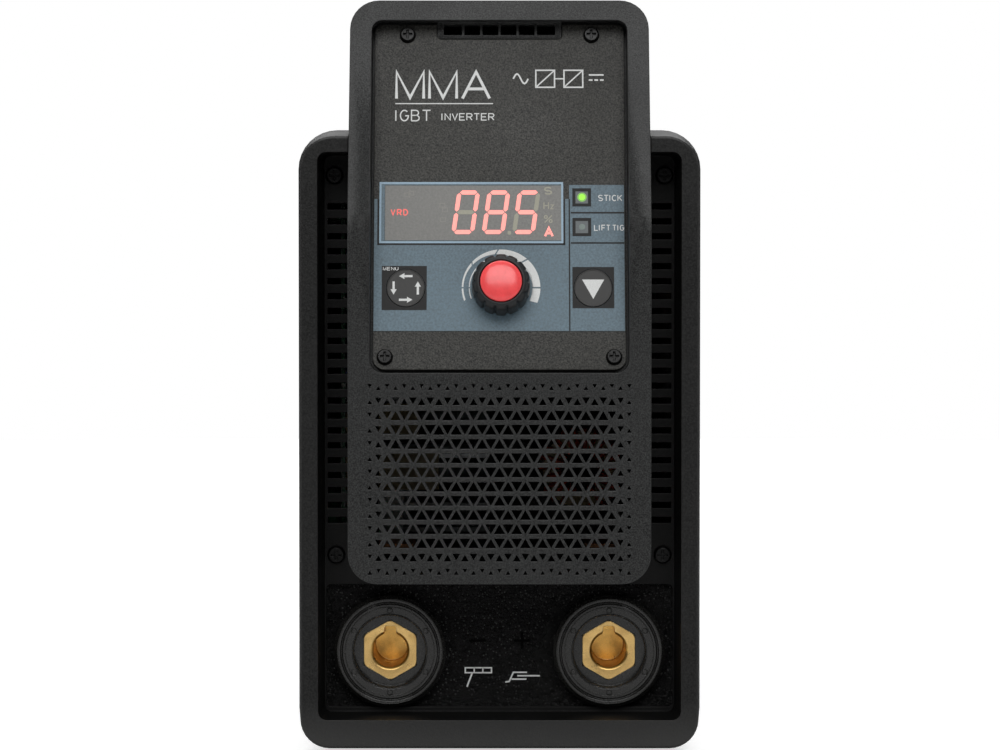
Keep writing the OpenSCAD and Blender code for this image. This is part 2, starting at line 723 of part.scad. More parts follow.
module fan_frame() color([0.09, 0.09, 0.09]) place() difference() {
    union() {
        difference() {
            slab(fan_front, rear_inner) polygon(round_rect(-fan_half, fan_half,
                fan_z - fan_half, fan_z + fan_half, 6, 6));
            rod_y([0, fan_z], fan_front - 1, rear_inner + 1, fan_hole_r);
        }
        rod_y([0, fan_z], fan_front, fan_front + 3, hub_r);
        for (a = [90:120:330]) translate([0, fan_front, fan_z]) rotate([0, a, 0])
            translate([hub_r - 2, 0, -2.5]) cube([fan_hole_r - hub_r + 3, 3, 5]);
    }
    rod_y([0, fan_z], fan_front - 1, fan_front + 4, 1.55);
    for (x = [-1, 1], z = [-1, 1])
        rod_y([x * fan_pitch, fan_z + z * fan_pitch], fan_front - 1, rear_inner + 1, 2.02);
}

module fan_rotor() color([0.14, 0.14, 0.14]) place() {
    rod_y([0, fan_z], fan_front + 0.6, fan_front + 5, 1.5);
    rod_y([0, fan_z], fan_front + 4, rear_inner - 2, hub_r);
    intersection() {
        for (i = [0:blade_count - 1]) translate([0, fan_front + 13, fan_z])
            rotate([0, i * 360 / blade_count, 0]) translate([hub_r - 2, 0, 0])
                rotate([38, 0, 0]) translate([0, -1, -17]) cube([40, 2, 34]);
        rod_y([0, fan_z], fan_front + 4.5, rear_inner - 2.5, rotor_r);
    }
}

module fan_screws() color(zinc) place() for (x = [-1, 1], z = [-1, 1])
    translate([x * fan_pitch, rear_face + 2.2, fan_z + z * fan_pitch]) rotate([90, 0, 0])
        pan_screw(4, 2.4, 2, 24);

module power_switch_body() color([0.08, 0.08, 0.08]) place() {
    difference() {
        union() {
            block([switch_at[0] - 15.6, switch_at[0] + 15.6], [rear_face, rear_face + 2],
                [switch_at[1] - 12.6, switch_at[1] + 12.6]);
            block([switch_at[0] - switch_size[0] / 2, switch_at[0] + switch_size[0] / 2],
                [rear_face - 22, rear_face + 1],
                [switch_at[1] - switch_size[1] / 2, switch_at[1] + switch_size[1] / 2]);
        }
        block([switch_at[0] - 12, switch_at[0] + 12], [rear_face - 10, rear_face + 3],
            [switch_at[1] - 9.6, switch_at[1] + 9.6]);
    }
    rod_x(switch_at[0] - 12.5, switch_at[0] + 12.5, rocker_pivot_y, switch_at[1], pivot_r);
}

module power_switch_rocker() color([0.55, 0.07, 0.06]) place()
    translate([switch_at[0] - 11.6, rocker_pivot_y, switch_at[1]]) rotate([rocker_tilt, 0, 0])
        difference() {
            along_x(0, 23.2) polygon([[-3, -3.2], [1, -8.4], [5.5, -8.4], [4.6, 0], [5.5, 8.4],
                [1, 8.4], [-3, 3.2]]);
            rod_x(-1, 25, 0, 0, pivot_r + 0.05);
        }

module cable_gland() color([0.1, 0.1, 0.1]) place() at_y(gland_at, 0) difference() {
    union() {
        translate([0, 0, rear_inner - 9]) cylinder(r = gland_r, h = 14);
        translate([0, 0, rear_face]) hex_prism(27, 6);
        translate([0, 0, rear_face + 5]) cylinder(r = 12.4, h = 8);
        translate([0, 0, rear_face + 13]) cylinder(r1 = 12.4, r2 = 8.4, h = 6.4);
    }
    translate([0, 0, rear_inner - 10]) cylinder(r = cable_r, h = 40);
}

module cable_gland_nut() color([0.12, 0.12, 0.12]) place() at_y(gland_at, rear_inner - 5) difference() {
    hex_prism(27, 5);
    translate([0, 0, -1]) cylinder(r = gland_r + 0.02, h = 7);
}

module earth_stud() color(brass) place() at_y(earth_at, 0) {
    translate([0, 0, rear_inner - 8]) cylinder(r = earth_r, h = 24);
    translate([0, 0, rear_face]) hex_prism(10, 4);
    translate([0, 0, rear_inner - 4]) hex_prism(10, 4);
}

module rating_plate() color([0.7, 0.7, 0.7]) place() slab(rear_face, rear_face + 0.5)
    polygon(round_rect(-34, 34, 209, 222, 1.5, 1.5));

module rear_screws() color([0.08, 0.08, 0.08]) place() both_sides() for (p = rear_screws_at)
    translate([p[0], rear_face, p[1]]) rotate([90, 0, 0])
        pan_screw(screw_head_r, screw_head_h, screw_r, wall + sheet_t + 6);

module front_screws() color([0.08, 0.08, 0.08]) place() both_sides() for (p = front_screws_at)
    at_y(p, recess_d) pan_screw(screw_head_r, screw_head_h, screw_r, wall + sheet_t + 6);

module cover_screws() color([0.1, 0.1, 0.1]) place() both_sides() for (y = cover_screws_y)
    translate([cover_half, y, cover_screw_z]) rotate([0, -90, 0])
        pan_screw(screw_head_r, 2.2, screw_r, 9);

// ---- Power electronics ----

module main_board() color(board_green) place() difference() {
    block([board_x - main_board_t, board_x], main_board_y, main_board_z);
    for (y = [70, 150, 237], z = [38, 207])
        rod_x(board_x - 3, board_x + 1, y, z, 1.5);
}

module board_standoffs() color(zinc) place() for (y = [70, 150, 237], z = [38, 207]) {
    rod_x(-pan_half + sheet_t, board_x - main_board_t, y, z, 3);
    rod_x(board_x - main_board_t - 1, board_x + 2, y, z, 1.45);
}

// A finned block on two posts above the board.
module heatsink(y, z, reach) {
    block([board_x + 16, board_x + 20], y, z);
    for (i = [0:6]) block([board_x + 19, board_x + reach], y,
        [z[0] + i * (z[1] - z[0] - 2) / 6, z[0] + i * (z[1] - z[0] - 2) / 6 + 2]);
    for (e = [y[0], y[1] - 4]) block([board_x, board_x + 17], [e, e + 4], z);
}

primary_y = [150, 230];
primary_z = [120, 198];
secondary_y = [150, 230];
secondary_z = [44, 108];

module primary_heatsink() color([0.75, 0.75, 0.76]) place() heatsink(primary_y, primary_z, 56);
module secondary_heatsink() color([0.75, 0.75, 0.76]) place() heatsink(secondary_y, secondary_z, 56);

// Packages clamped under a heatsink, with their legs in the board.
module packages(y0, count, z) for (i = [0:count - 1]) translate([0, y0 + i * 18, z]) {
    block([board_x + 10.5, board_x + 16], [0, 15], [0, 20]);
    for (k = [0:2]) block([board_x, board_x + 11], [3 + k * 4.2, 4.2 + k * 4.2], [2, 3]);
}

module power_transistors() color([0.08, 0.08, 0.08]) place() packages(155.5, 4, 150);
module output_diodes() color([0.08, 0.08, 0.08]) place() packages(164.5, 3, 66);

module bulk_capacitors() color([0.12, 0.14, 0.2]) place() for (p = [[84, 188], [118, 188], [118, 154]])
    rod_x(board_x, board_x + 46, p[0], p[1], 15);

module film_capacitors() color([0.9, 0.8, 0.35]) place() {
    block([board_x, -24], [66, 84], [98, 114]);
    block([board_x, -32], [66, 80], [118, 132]);
}

module transformer_core() color([0.2, 0.2, 0.21]) place() translate(core_box[0]) difference() {
    cube(core_box[1]);
    for (x = [core_leg, core_box[1][0] - core_leg - (core_box[1][0] - core_post) / 2 + core_leg])
        translate([x, -1, core_leg]) cube([(core_box[1][0] - core_post) / 2 - core_leg,
            core_box[1][1] + 2, core_box[1][2] - 2 * core_leg]);
}

module transformer_winding() color([0.75, 0.6, 0.2]) place() translate(core_box[0]) difference() {
    translate([core_leg + coil_gap, -coil_out, core_leg + coil_gap])
        cube([core_box[1][0] - 2 * core_leg - 2 * coil_gap, core_box[1][1] + 2 * coil_out,
            core_box[1][2] - 2 * core_leg - 2 * coil_gap]);
    translate([(core_box[1][0] - core_post) / 2 - 0.1, -0.1, 0])
        cube([core_post + 0.2, core_box[1][1] + 0.2, core_box[1][2]]);
}

module choke_ring(r0, r1, y0, y1, sweep) at_y([choke_at[0], choke_at[2]], choke_at[1])
    rotate(90 + turn_gap / 2) rotate_extrude(angle = sweep)
        polygon([[r0, y0], [r1, y0], [r1, y1], [r0, y1]]);

module choke_core() color([0.8, 0.7, 0.2]) place()
    choke_ring(choke_r[0], choke_r[1], 0, choke_t, 360);

module choke_winding() color([0.7, 0.22, 0.1]) place() difference() {
    choke_ring(choke_r[0] - winding_t, choke_r[1] + winding_t, -winding_t, choke_t + winding_t,
        360 - turn_gap);
    choke_ring(choke_r[0] - 0.02, choke_r[1] + 0.02, -0.02, choke_t + 0.02, 360);
}

module bridge_rectifier() color([0.1, 0.1, 0.1]) place()
    block([-40, -12], [200, 228], [pan_z + sheet_t, pan_z + sheet_t + 10]);

// Straight runs along the axes, with round elbows.
module lead(points, r) {
    for (i = [1:len(points) - 2]) translate(points[i]) sphere(r = r);
    for (i = [0:len(points) - 2]) {
        d = points[i + 1] - points[i];
        translate(points[i]) rotate([d[1] != 0 ? -sign(d[1]) * 90 : d[2] < 0 ? 180 : 0,
            d[0] != 0 ? sign(d[0]) * 90 : 0, 0]) cylinder(r = r, h = norm(d));
    }
}

module control_lead() color([0.1, 0.25, 0.6]) place()
    lead([[30, 7.8, 158], [30, 56, 158], [30, 56, 144], [-55, 56, 144], [-55, 90, 144],
        [board_x, 90, 144]], 1.6);

module switch_leads() color([0.5, 0.3, 0.15]) place() for (dx = [-5, 5])
    lead([[switch_at[0] + dx, rear_face - 22, 190 - dx], [switch_at[0] + dx, 240 + dx, 190 - dx],
        [switch_at[0] + dx, 240 + dx, 205 - dx], [board_x, 240 + dx, 205 - dx]], 1.5);

front_bezel();
front_frame();
control_panel();
panel_overlay();
display_window();
display_module();
mode_leds();
control_board();
tact_switches();
encoder_body();
encoder_nut();
encoder_shaft();
knob_body();
knob_cap();
menu_button();
select_button();
console_shell();
carry_handle();
handle_screws();
negative_collar();
positive_collar();
negative_insert();
positive_insert();
socket_ring_nuts();
insert_nuts();
output_busbars();
top_cover();
base_pan();
feet();
foot_screws();
rear_panel();
fan_guard();
fan_frame();
fan_rotor();
fan_screws();
power_switch_body();
power_switch_rocker();
cable_gland();
cable_gland_nut();
earth_stud();
rating_plate();
main_board();
board_standoffs();
primary_heatsink();
secondary_heatsink();
power_transistors();
output_diodes();
transformer_core();
transformer_winding();
choke_core();
choke_winding();
bulk_capacitors();
film_capacitors();
bridge_rectifier();
control_lead();
switch_leads();
front_screws();
rear_screws();
panel_screws();
cover_screws();
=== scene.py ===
import json
import math

import bmesh
import bpy
from mathutils import Matrix, Vector
from mathutils.bvhtree import BVHTree


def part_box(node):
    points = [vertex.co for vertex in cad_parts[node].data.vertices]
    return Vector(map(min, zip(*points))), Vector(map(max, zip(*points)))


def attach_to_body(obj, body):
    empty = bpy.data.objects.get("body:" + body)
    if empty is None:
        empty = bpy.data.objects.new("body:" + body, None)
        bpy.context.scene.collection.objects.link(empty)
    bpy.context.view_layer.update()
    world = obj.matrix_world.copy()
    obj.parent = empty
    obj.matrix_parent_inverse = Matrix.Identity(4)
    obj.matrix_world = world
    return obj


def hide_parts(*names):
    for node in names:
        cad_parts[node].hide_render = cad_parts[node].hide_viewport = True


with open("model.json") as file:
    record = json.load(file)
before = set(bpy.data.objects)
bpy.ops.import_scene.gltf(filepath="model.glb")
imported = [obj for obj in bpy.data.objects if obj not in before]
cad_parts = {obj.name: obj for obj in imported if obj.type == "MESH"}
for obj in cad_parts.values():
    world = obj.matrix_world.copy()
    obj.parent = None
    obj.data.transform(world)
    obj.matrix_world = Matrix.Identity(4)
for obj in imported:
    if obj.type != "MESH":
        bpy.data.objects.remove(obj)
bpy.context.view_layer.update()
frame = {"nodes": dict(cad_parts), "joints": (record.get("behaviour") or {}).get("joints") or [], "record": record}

# Looks of the stick welding inverter. Lengths are metres, so MM turns millimetres into them.
MM = 0.001
KNOB_JOINT = next(j for j in frame["joints"] if j["name"] == "knob_turn")
RIM_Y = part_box("front_bezel")[0].y

# The leaning panel's own axes: x across, v up the panel, w out of it. The knob turns about w.
KNOB_AT = (0.6, 35.3)
OUTWARD = Vector(KNOB_JOINT["axis"]).normalized()
ACROSS = Vector((1, 0, 0))
UPWARD = OUTWARD.cross(ACROSS)
PANEL_ZERO = Vector(KNOB_JOINT["pos_m"]) - ACROSS * KNOB_AT[0] * MM - UPWARD * KNOB_AT[1] * MM


def on_panel(x, v, w=0.0):
    """A point on the leaning panel, given in millimetres."""
    return PANEL_ZERO + (ACROSS * x + UPWARD * v + OUTWARD * w) * MM


def behind_rim(x, z, depth):
    """A point at a depth behind the front rim, given in millimetres."""
    return Vector((x * MM, RIM_Y + depth * MM, z * MM))


# ---- Materials ----

# The dot product of the bevelled and the flat normal, where wear begins and where it is full
EDGE_STARTS = 0.995
EDGE_FULL = 0.90
BEVEL_SAMPLES = 6


class Shader:
    """A procedural material while it is being built. Pattern sizes are in metres."""

    def __init__(self, name):
        self.material = bpy.data.materials.new(name)
        self.material.use_nodes = True
        self.tree = self.material.node_tree
        self.surface = self.tree.nodes["Principled BSDF"]
        self.place = self.add("ShaderNodeTexCoord").outputs["Object"]
        self.normal = None

    def add(self, kind, sockets=None, **settings):
        node = self.tree.nodes.new(kind)
        for key, value in settings.items():
            setattr(node, key, value)
        self.fill(node, sockets or {})
        return node

    def fill(self, node, sockets):
        for key, value in sockets.items():
            if isinstance(value, bpy.types.NodeSocket):
                self.tree.links.new(value, node.inputs[key])
            else:
                node.inputs[key].default_value = value

    def noise(self, size, detail=2.0, stretch=None):
        place = self.place
        if stretch:
            mapping = self.add("ShaderNodeMapping", {"Vector": place, "Scale": stretch})
            place = mapping.outputs["Vector"]
        sockets = {"Vector": place, "Scale": 1 / size, "Detail": detail, "Roughness": 0.6}
        return self.add("ShaderNodeTexNoise", sockets).outputs["Fac"]

    def cells(self, size, feature="F1", output="Distance"):
        sockets = {"Vector": self.place, "Scale": 1 / size}
        return self.add("ShaderNodeTexVoronoi", sockets, feature=feature).outputs[output]

    def bands(self, size, axis, distortion):
        sockets = {"Vector": self.place, "Scale": 1 / size / math.tau * 2,
                   "Distortion": distortion}
        wave = self.add("ShaderNodeTexWave", sockets, wave_type="BANDS", bands_direction=axis)
        return wave.outputs["Fac"]

    def between(self, value, low, high, to_low=0.0, to_high=1.0):
        sockets = {"Value": value, "From Min": low, "From Max": high, "To Min": to_low,
                   "To Max": to_high}
        return self.add("ShaderNodeMapRange", sockets).outputs["Result"]

    def times(self, a, b):
        return self.add("ShaderNodeMath", {0: a, 1: b}, operation="MULTIPLY").outputs[0]

    def mix(self, share, a, b):
        node = self.add("ShaderNodeMix", data_type="RGBA")
        self.fill(node, {0: share, 6: with_alpha(a), 7: with_alpha(b)})
        return node.outputs[2]

    def bump(self, height, depth):
        """Adds relief on top of any that is there already."""
        sockets = {"Height": height, "Distance": depth, "Strength": 1.0}
        if self.normal:
            sockets["Normal"] = self.normal
        self.normal = self.add("ShaderNodeBump", sockets).outputs["Normal"]

    def soft_edges(self, radius):
        """Rounds the shading of sharp edges, and gives a mask that is 1 at an edge."""
        bevel = self.add("ShaderNodeBevel", {"Radius": radius}, samples=BEVEL_SAMPLES)
        rounded = bevel.outputs["Normal"]
        flat = self.add("ShaderNodeNewGeometry").outputs["Normal"]
        same = self.add("ShaderNodeVectorMath", {0: rounded, 1: flat}, operation="DOT_PRODUCT")
        self.normal = rounded
        return self.between(same.outputs["Value"], EDGE_STARTS, EDGE_FULL)

    def finish(self, tone, roughness, **sockets):
        if self.normal:
            self.fill(self.surface, {"Normal": self.normal})
        sockets = {"Base Color": tone, "Roughness": roughness, **sockets}
        for key, value in sockets.items():
            self.fill(self.surface, {key.replace("_", " "): with_alpha(value)})
        return self.material


def with_alpha(colour):
    """A colour of three numbers gets its fourth; anything else stays as it is."""
    return (*colour, 1.0) if isinstance(colour, tuple) and len(colour) == 3 else colour


def lighter(colour, factor):
    """A colour multiplied by a factor, which is below 1 to darken it."""
    return tuple(min(1.0, c * factor) for c in colour)


def moulded(name, colour, grain=0.55, depth=0.03, rough=0.5, shine=0.3, wear=2.2,
            contrast=0.4, painted_foot_reflection=False, painted_glints=0.0):
    """Moulded plastic with a spark-eroded texture and edges rubbed a little smoother.

    Grain and depth are in millimetres. With painted_foot_reflection the colour is lighter near the
    floor as a painted reflection; painted_glints lightens the pits as painted highlights.
    """
    # Heights where the painted reflection of the floor is full and where it ends
    reflection_full_below, reflection_none_above = 8 * MM, 24 * MM
    s = Shader(name)
    rubbed = s.soft_edges(0.5 * MM)
    fine = s.noise(grain * MM, 3.0)
    broad = s.noise(45 * MM, 3.0)
    pits = s.cells(grain * 1.6 * MM)
    speckle = s.between(fine, 0.35, 0.7)
    tone = s.mix(speckle, lighter(colour, 1 - contrast), lighter(colour, 1 + 1.4 * contrast))
    cloudy = s.times(s.between(broad, 0.35, 0.75), 0.3)
    tone = s.mix(cloudy, tone, lighter(colour, 1.35))
    # Painted highlights: the colour is much lighter at the pits' centres, standing in for glint
    if painted_glints:
        tone = s.mix(s.between(pits, 0.12, 0.3, painted_glints, 0.0), tone, lighter(colour, 14))
    # Painted reflection: the colour is lighter towards the floor, standing in for its light
    if painted_foot_reflection:
        height = s.add("ShaderNodeSeparateXYZ", {0: s.place}).outputs["Z"]
        dust_and_floor_reflection = s.between(height, reflection_none_above, reflection_full_below, 0.0, 0.9)
        tone = s.mix(dust_and_floor_reflection, tone, lighter(colour, 4.5))
    uneven = s.between(s.noise(6 * MM, 2.0), 0.35, 0.65, 0.3, 0.9)
    scuffed = s.times(rubbed, uneven)
    tone = s.mix(scuffed, tone, lighter(colour, wear))
    roughness = s.between(broad, 0.3, 0.7, rough - 0.05, rough + 0.06)
    worn = s.times(scuffed, 0.14)
    roughness = s.add("ShaderNodeMath", {0: roughness, 1: worn}, operation="SUBTRACT").outputs[0]
    s.bump(pits, depth * 0.7 * MM)
    s.bump(fine, depth * MM)
    return s.finish(tone, roughness, Specular_IOR_Level=shine)


def powder_coat(name, colour):
    """Stove enamel with a fine orange peel and dusty hollows."""
    s = Shader(name)
    rubbed = s.soft_edges(0.5 * MM)
    peel = s.noise(1.6 * MM, 2.0)
    fine = s.noise(0.5 * MM, 2.0)
    broad = s.noise(60 * MM, 3.0)
    tone = s.mix(s.between(peel, 0.35, 0.65), lighter(colour, 0.8), lighter(colour, 1.2))
    dust_and_floor_reflection = s.times(s.between(broad, 0.5, 0.8), 0.25)
    tone = s.mix(dust_and_floor_reflection, tone, lighter(colour, 2.0))
    tone = s.mix(s.times(rubbed, 0.5), tone, lighter(colour, 2.6))
    s.bump(peel, 0.05 * MM)
    s.bump(fine, 0.012 * MM)
    roughness = s.between(broad, 0.3, 0.7, 0.4, 0.52)
    return s.finish(tone, roughness, Specular_IOR_Level=0.4)


def rolled_metal(name, colour, rough=0.35, grain=(1, 1, 14), spangle=0.0):
    """Bare or plated metal, with drawing lines, dull patches and bright edges."""
    s = Shader(name)
    rubbed = s.soft_edges(0.35 * MM)
    lines = s.noise(1.2 * MM, 3.0, grain)
    patches = s.noise(14 * MM, 3.0)
    tone = s.mix(s.between(lines, 0.3, 0.7), lighter(colour, 0.86), lighter(colour, 1.08))
    dull = s.times(s.between(patches, 0.45, 0.75), 0.2)
    tone = s.mix(dull, tone, lighter(colour, 0.5))
    if spangle:
        flakes = s.cells(spangle * MM, output="Color")
        flake = s.add("ShaderNodeSeparateColor", {0: flakes}).outputs[0]
        share = s.times(flake, 0.35)
        tone = s.mix(share, tone, lighter(colour, 0.6))
    tone = s.mix(s.times(rubbed, 0.6), tone, lighter(colour, 1.25))
    s.bump(lines, 0.01 * MM)
    roughness = s.between(patches, 0.3, 0.75, rough - 0.06, rough + 0.14)
    return s.finish(tone, roughness, Metallic=1.0)


def turned_brass(name, colour):
    """Turned brass with fine tool marks: yellow where clean, brown where stained."""
    stained = (0.42, 0.22, 0.06)
    polished = (0.95, 0.84, 0.56)
    s = Shader(name)
    rubbed = s.soft_edges(0.4 * MM)
    marks = s.noise(0.35 * MM, 2.0)
    stain = s.noise(5 * MM, 4.0)
    tone = s.mix(s.between(marks, 0.3, 0.7), lighter(colour, 0.9), lighter(colour, 1.08))
    tone = s.mix(s.between(stain, 0.5, 0.8, 0.0, 0.45), tone, stained)
    tone = s.mix(s.times(rubbed, 0.7), tone, polished)
    s.bump(marks, 0.012 * MM)
    roughness = s.between(stain, 0.3, 0.7, 0.24, 0.4)
    return s.finish(tone, roughness, Metallic=1.0)


def glossy(name, colour, rough=0.16):
    """Smooth glossy plastic or lacquer with faint flow marks and fine scratches."""
    s = Shader(name)
    flow = s.noise(4 * MM, 3.0)
    scratches = s.noise(0.5 * MM, 4.0, (1, 1, 9))
    tone = s.mix(s.between(flow, 0.3, 0.7), lighter(colour, 0.88), lighter(colour, 1.12))
    s.bump(flow, 0.02 * MM)
    s.bump(scratches, 0.003 * MM)
    roughness = s.between(scratches, 0.35, 0.75, rough, rough + 0.14)
    return s.finish(tone, roughness, Specular_IOR_Level=0.5)


def rubber(name, colour):
    """Moulded rubber, matt, with a dusty bloom."""
    s = Shader(name)
    rubbed = s.soft_edges(0.5 * MM)
    grit = s.noise(0.7 * MM, 4.0)
    bloom = s.noise(9 * MM, 3.0)
    tone = s.mix(s.between(bloom, 0.45, 0.8), colour, lighter(colour, 2.2))
    tone = s.mix(s.times(rubbed, 0.4), tone, lighter(colour, 3.0))
    s.bump(grit, 0.05 * MM)
    roughness = s.between(grit, 0.3, 0.7, 0.68, 0.85)
    return s.finish(tone, roughness, Specular_IOR_Level=0.3)


def screen_print(name, colour, rough=0.5, grain=0.4, contrast=0.1):
    """Ink on the panel's film, with the film's fine grain."""
    s = Shader(name)
    fine = s.noise(grain * MM, 3.0)
    broad = s.noise(30 * MM, 2.0)
    speckle = s.between(fine, 0.3, 0.7)
    tone = s.mix(speckle, lighter(colour, 1 - contrast), lighter(colour, 1 + contrast))
    cloudy = s.times(s.between(broad, 0.3, 0.7), 0.25)
    tone = s.mix(cloudy, tone, lighter(colour, 1.2))
    s.bump(fine, 0.02 * MM)
    roughness = s.between(fine, 0.3, 0.7, rough - 0.06, rough + 0.08)
    return s.finish(tone, roughness, Specular_IOR_Level=0.4)


def glowing(name, colour, strength, core=0.3):
    """A lit segment or lens, whiter at its grain's peaks by the share called core."""
    s = Shader(name)
    grain = s.noise(1.2 * MM, 2.0)
    tone = s.mix(s.between(grain, 0.3, 0.7, 0.0, core), colour, (1.0, 1.0, 1.0))
    s.bump(grain, 0.01 * MM)
    roughness = s.between(grain, 0.3, 0.7, 0.3, 0.45)
    return s.finish(tone, roughness, Emission_Color=tone, Emission_Strength=strength)


def circuit_board(name, mask):
    """Solder mask over copper tracks, with tinned pads."""
    over_track = (0.03, 0.22, 0.07)
    tin = (0.6, 0.58, 0.52)
    s = Shader(name)
    tracks = s.cells(3.2 * MM, feature="DISTANCE_TO_EDGE")
    pads = s.cells(5 * MM)
    tone = s.mix(s.between(tracks, 0.03, 0.06), over_track, mask)
    tone = s.mix(s.between(pads, 0.16, 0.13), tone, tin)
    s.bump(s.between(tracks, 0.02, 0.07), -0.03 * MM)
    return s.finish(tone, s.between(pads, 0.13, 0.2, 0.35, 0.22))


def wrapped(name, colour, turn):
    """Winding tape in overlapping turns of a width in millimetres, with darker seams."""
    s = Shader(name)
    turns = s.bands(turn * MM, "Y", 0.6)
    dirt = s.noise(5 * MM, 3.0)
    tone = s.mix(s.between(turns, 0.0, 0.35), lighter(colour, 0.45), colour)
    tone = s.mix(s.between(dirt, 0.45, 0.8, 0.0, 0.4), tone, lighter(colour, 0.6))
    s.bump(turns, 0.12 * MM)
    return s.finish(tone, s.between(dirt, 0.3, 0.7, 0.28, 0.42))


# Every material: its maker, its base colour and the maker's settings
RECIPES = {
    # The case is lighter near the floor, a painted reflection of the floor
    "case_black": (moulded, (0.009, 0.009, 0.0088), dict(
        grain=0.7, depth=0.06, rough=0.46, shine=0.26, contrast=0.8, painted_foot_reflection=True)),
    "loop_black": (moulded, (0.0190, 0.0196, 0.0194), dict(
        grain=0.5, depth=0.07, rough=0.44, contrast=1.0)),
    "panel_black": (moulded, (0.030, 0.0295, 0.0262), dict(
        grain=0.6, depth=0.12, rough=0.47, contrast=1.0)),
    # The bay is darkened as painted shade under the plate, and its pits are lightened as painted highlights
    "bay_black": (moulded, (0.003, 0.003, 0.0029), dict(
        grain=0.9, depth=1.4, rough=0.24, shine=0.3, contrast=0.9, painted_glints=0.9)),
    "sign_black": (moulded, (0.0008, 0.0008, 0.0008), dict(rough=0.6, shine=0.03, wear=1.2)),
    # The recess is darkened as painted shade
    "recess_black": (moulded, (0.0045, 0.0045, 0.0044), dict(rough=0.5, shine=0.18)),
    "overlay_film": (screen_print, (0.112, 0.165, 0.20), dict(grain=0.8, contrast=0.3)),
    "display_glass": (screen_print, (0.18, 0.178, 0.168), dict(
        rough=0.42, grain=0.8, contrast=0.2)),
    "display_body": (moulded, (0.02, 0.02, 0.02), {}),
    "led_green": (glowing, (0.25, 0.9, 0.02), dict(strength=1.6)),
    "board_green": (circuit_board, (0.01, 0.11, 0.045), {}),
    "part_black": (moulded, (0.016, 0.016, 0.0155), dict(grain=0.4, depth=0.015, rough=0.4)),
    "knob_black": (moulded, (0.016, 0.017, 0.018), dict(grain=0.35, depth=0.012, rough=0.42)),
    "knob_red": (glossy, (0.94, 0.085, 0.09), {}),
    "key_black": (screen_print, (0.022, 0.022, 0.021), dict(rough=0.46)),
    "zinc": (rolled_metal, (0.55, 0.55, 0.53), dict(rough=0.38, grain=(1, 1, 1))),
    "screw_black": (rolled_metal, (0.022, 0.022, 0.022), dict(rough=0.34, grain=(1, 1, 1))),
    "steel_black": (powder_coat, (0.022, 0.022, 0.023), {}),
    "base_steel": (rolled_metal, (0.5, 0.51, 0.52), dict(spangle=7.0)),
    "rubber_black": (rubber, (0.012, 0.012, 0.012), {}),
    "brass": (turned_brass, (0.90, 0.60, 0.23), {}),
    "copper": (rolled_metal, (0.72, 0.35, 0.18), dict(grain=(9, 1, 1))),
    "heatsink": (rolled_metal, (0.62, 0.63, 0.64), dict(grain=(9, 1, 9))),
    "ferrite": (rubber, (0.035, 0.035, 0.037), {}),
    # The tape's yellow is darkened as painted shade for the parts inside the case
    "tape_yellow": (wrapped, (0.20, 0.135, 0.03), dict(turn=3.0)),
    "enamel_red": (glossy, (0.45, 0.05, 0.015), dict(rough=0.2)),
    "capacitor_sleeve": (glossy, (0.02, 0.03, 0.06), dict(rough=0.25)),
    "lead_blue": (glossy, (0.02, 0.08, 0.35), dict(rough=0.3)),
    "lead_brown": (glossy, (0.14, 0.06, 0.02), dict(rough=0.3)),
    "switch_red": (glossy, (0.42, 0.02, 0.015), dict(rough=0.2)),
    "rating_silver": (rolled_metal, (0.6, 0.6, 0.6), dict(grain=(14, 1, 1))),
    "ink_white": (screen_print, (0.70, 0.71, 0.70), {}),
    "ink_black": (screen_print, (0.006, 0.006, 0.006), dict(rough=0.6, contrast=0.6)),
    "ink_grey": (screen_print, (0.035, 0.034, 0.033), {}),
    "ink_pale": (screen_print, (0.30, 0.42, 0.52), {}),
    "segment_unlit": (screen_print, (0.33, 0.32, 0.25), dict(rough=0.42)),
    "segment_dim": (screen_print, (0.225, 0.22, 0.20), dict(rough=0.42)),
    "glow_red": (glowing, (0.95, 0.25, 0.21), dict(strength=0.62, core=0.06)),
    "glow_mark": (glowing, (0.80, 0.08, 0.06), dict(strength=0.4, core=0.05)),
    "lamp_lit": (glowing, (0.24, 0.80, 0.004), dict(strength=0.6, core=0.02)),
    "lamp_halo": (glowing, (0.16, 0.42, 0.03), dict(strength=0.25, core=0.05)),
    "lamp_window": (screen_print, (0.085, 0.10, 0.105), dict(rough=0.35)),
    "lamp_dark": (glossy, (0.12, 0.17, 0.15), dict(rough=0.3)),
    "collar_black": (moulded, (0.013, 0.0128, 0.0118), dict(
        grain=0.5, depth=0.012, rough=0.2, shine=0.55, contrast=0.7)),
    "brass_bore": (turned_brass, (0.88, 0.53, 0.15), {}),
}
MATERIALS = {name: maker(name, colour, **settings)
             for name, (maker, colour, settings) in RECIPES.items()}

# ---- Mesh helpers ----

# Edges that bend less than this are shaded smooth, and aren't rounded
SMOOTH_BELOW = math.radians(32)
# Faces that bend less than this are one flat face
FLAT_BELOW = math.radians(0.6)


def add_object(name, mesh):
    thing = bpy.data.objects.new(name, mesh)
    bpy.context.scene.collection.objects.link(thing)
    return thing


def shade(mesh):
    mesh.shade_smooth()
    mesh.set_sharp_from_angle(angle=SMOOTH_BELOW)


def attach(thing, body, slot, material, *nodes):
    """Gives a piece its material and its body, and hides the CAD nodes that it stands for. The slot is not used.
    """
    thing.data.materials.append(MATERIALS[material])
    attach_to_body(thing, body)
    if nodes:
        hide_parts(*nodes)
    return thing


def is_sharp(edge):
    return len(edge.link_faces) == 2 and edge.calc_face_angle(0.0) > SMOOTH_BELOW


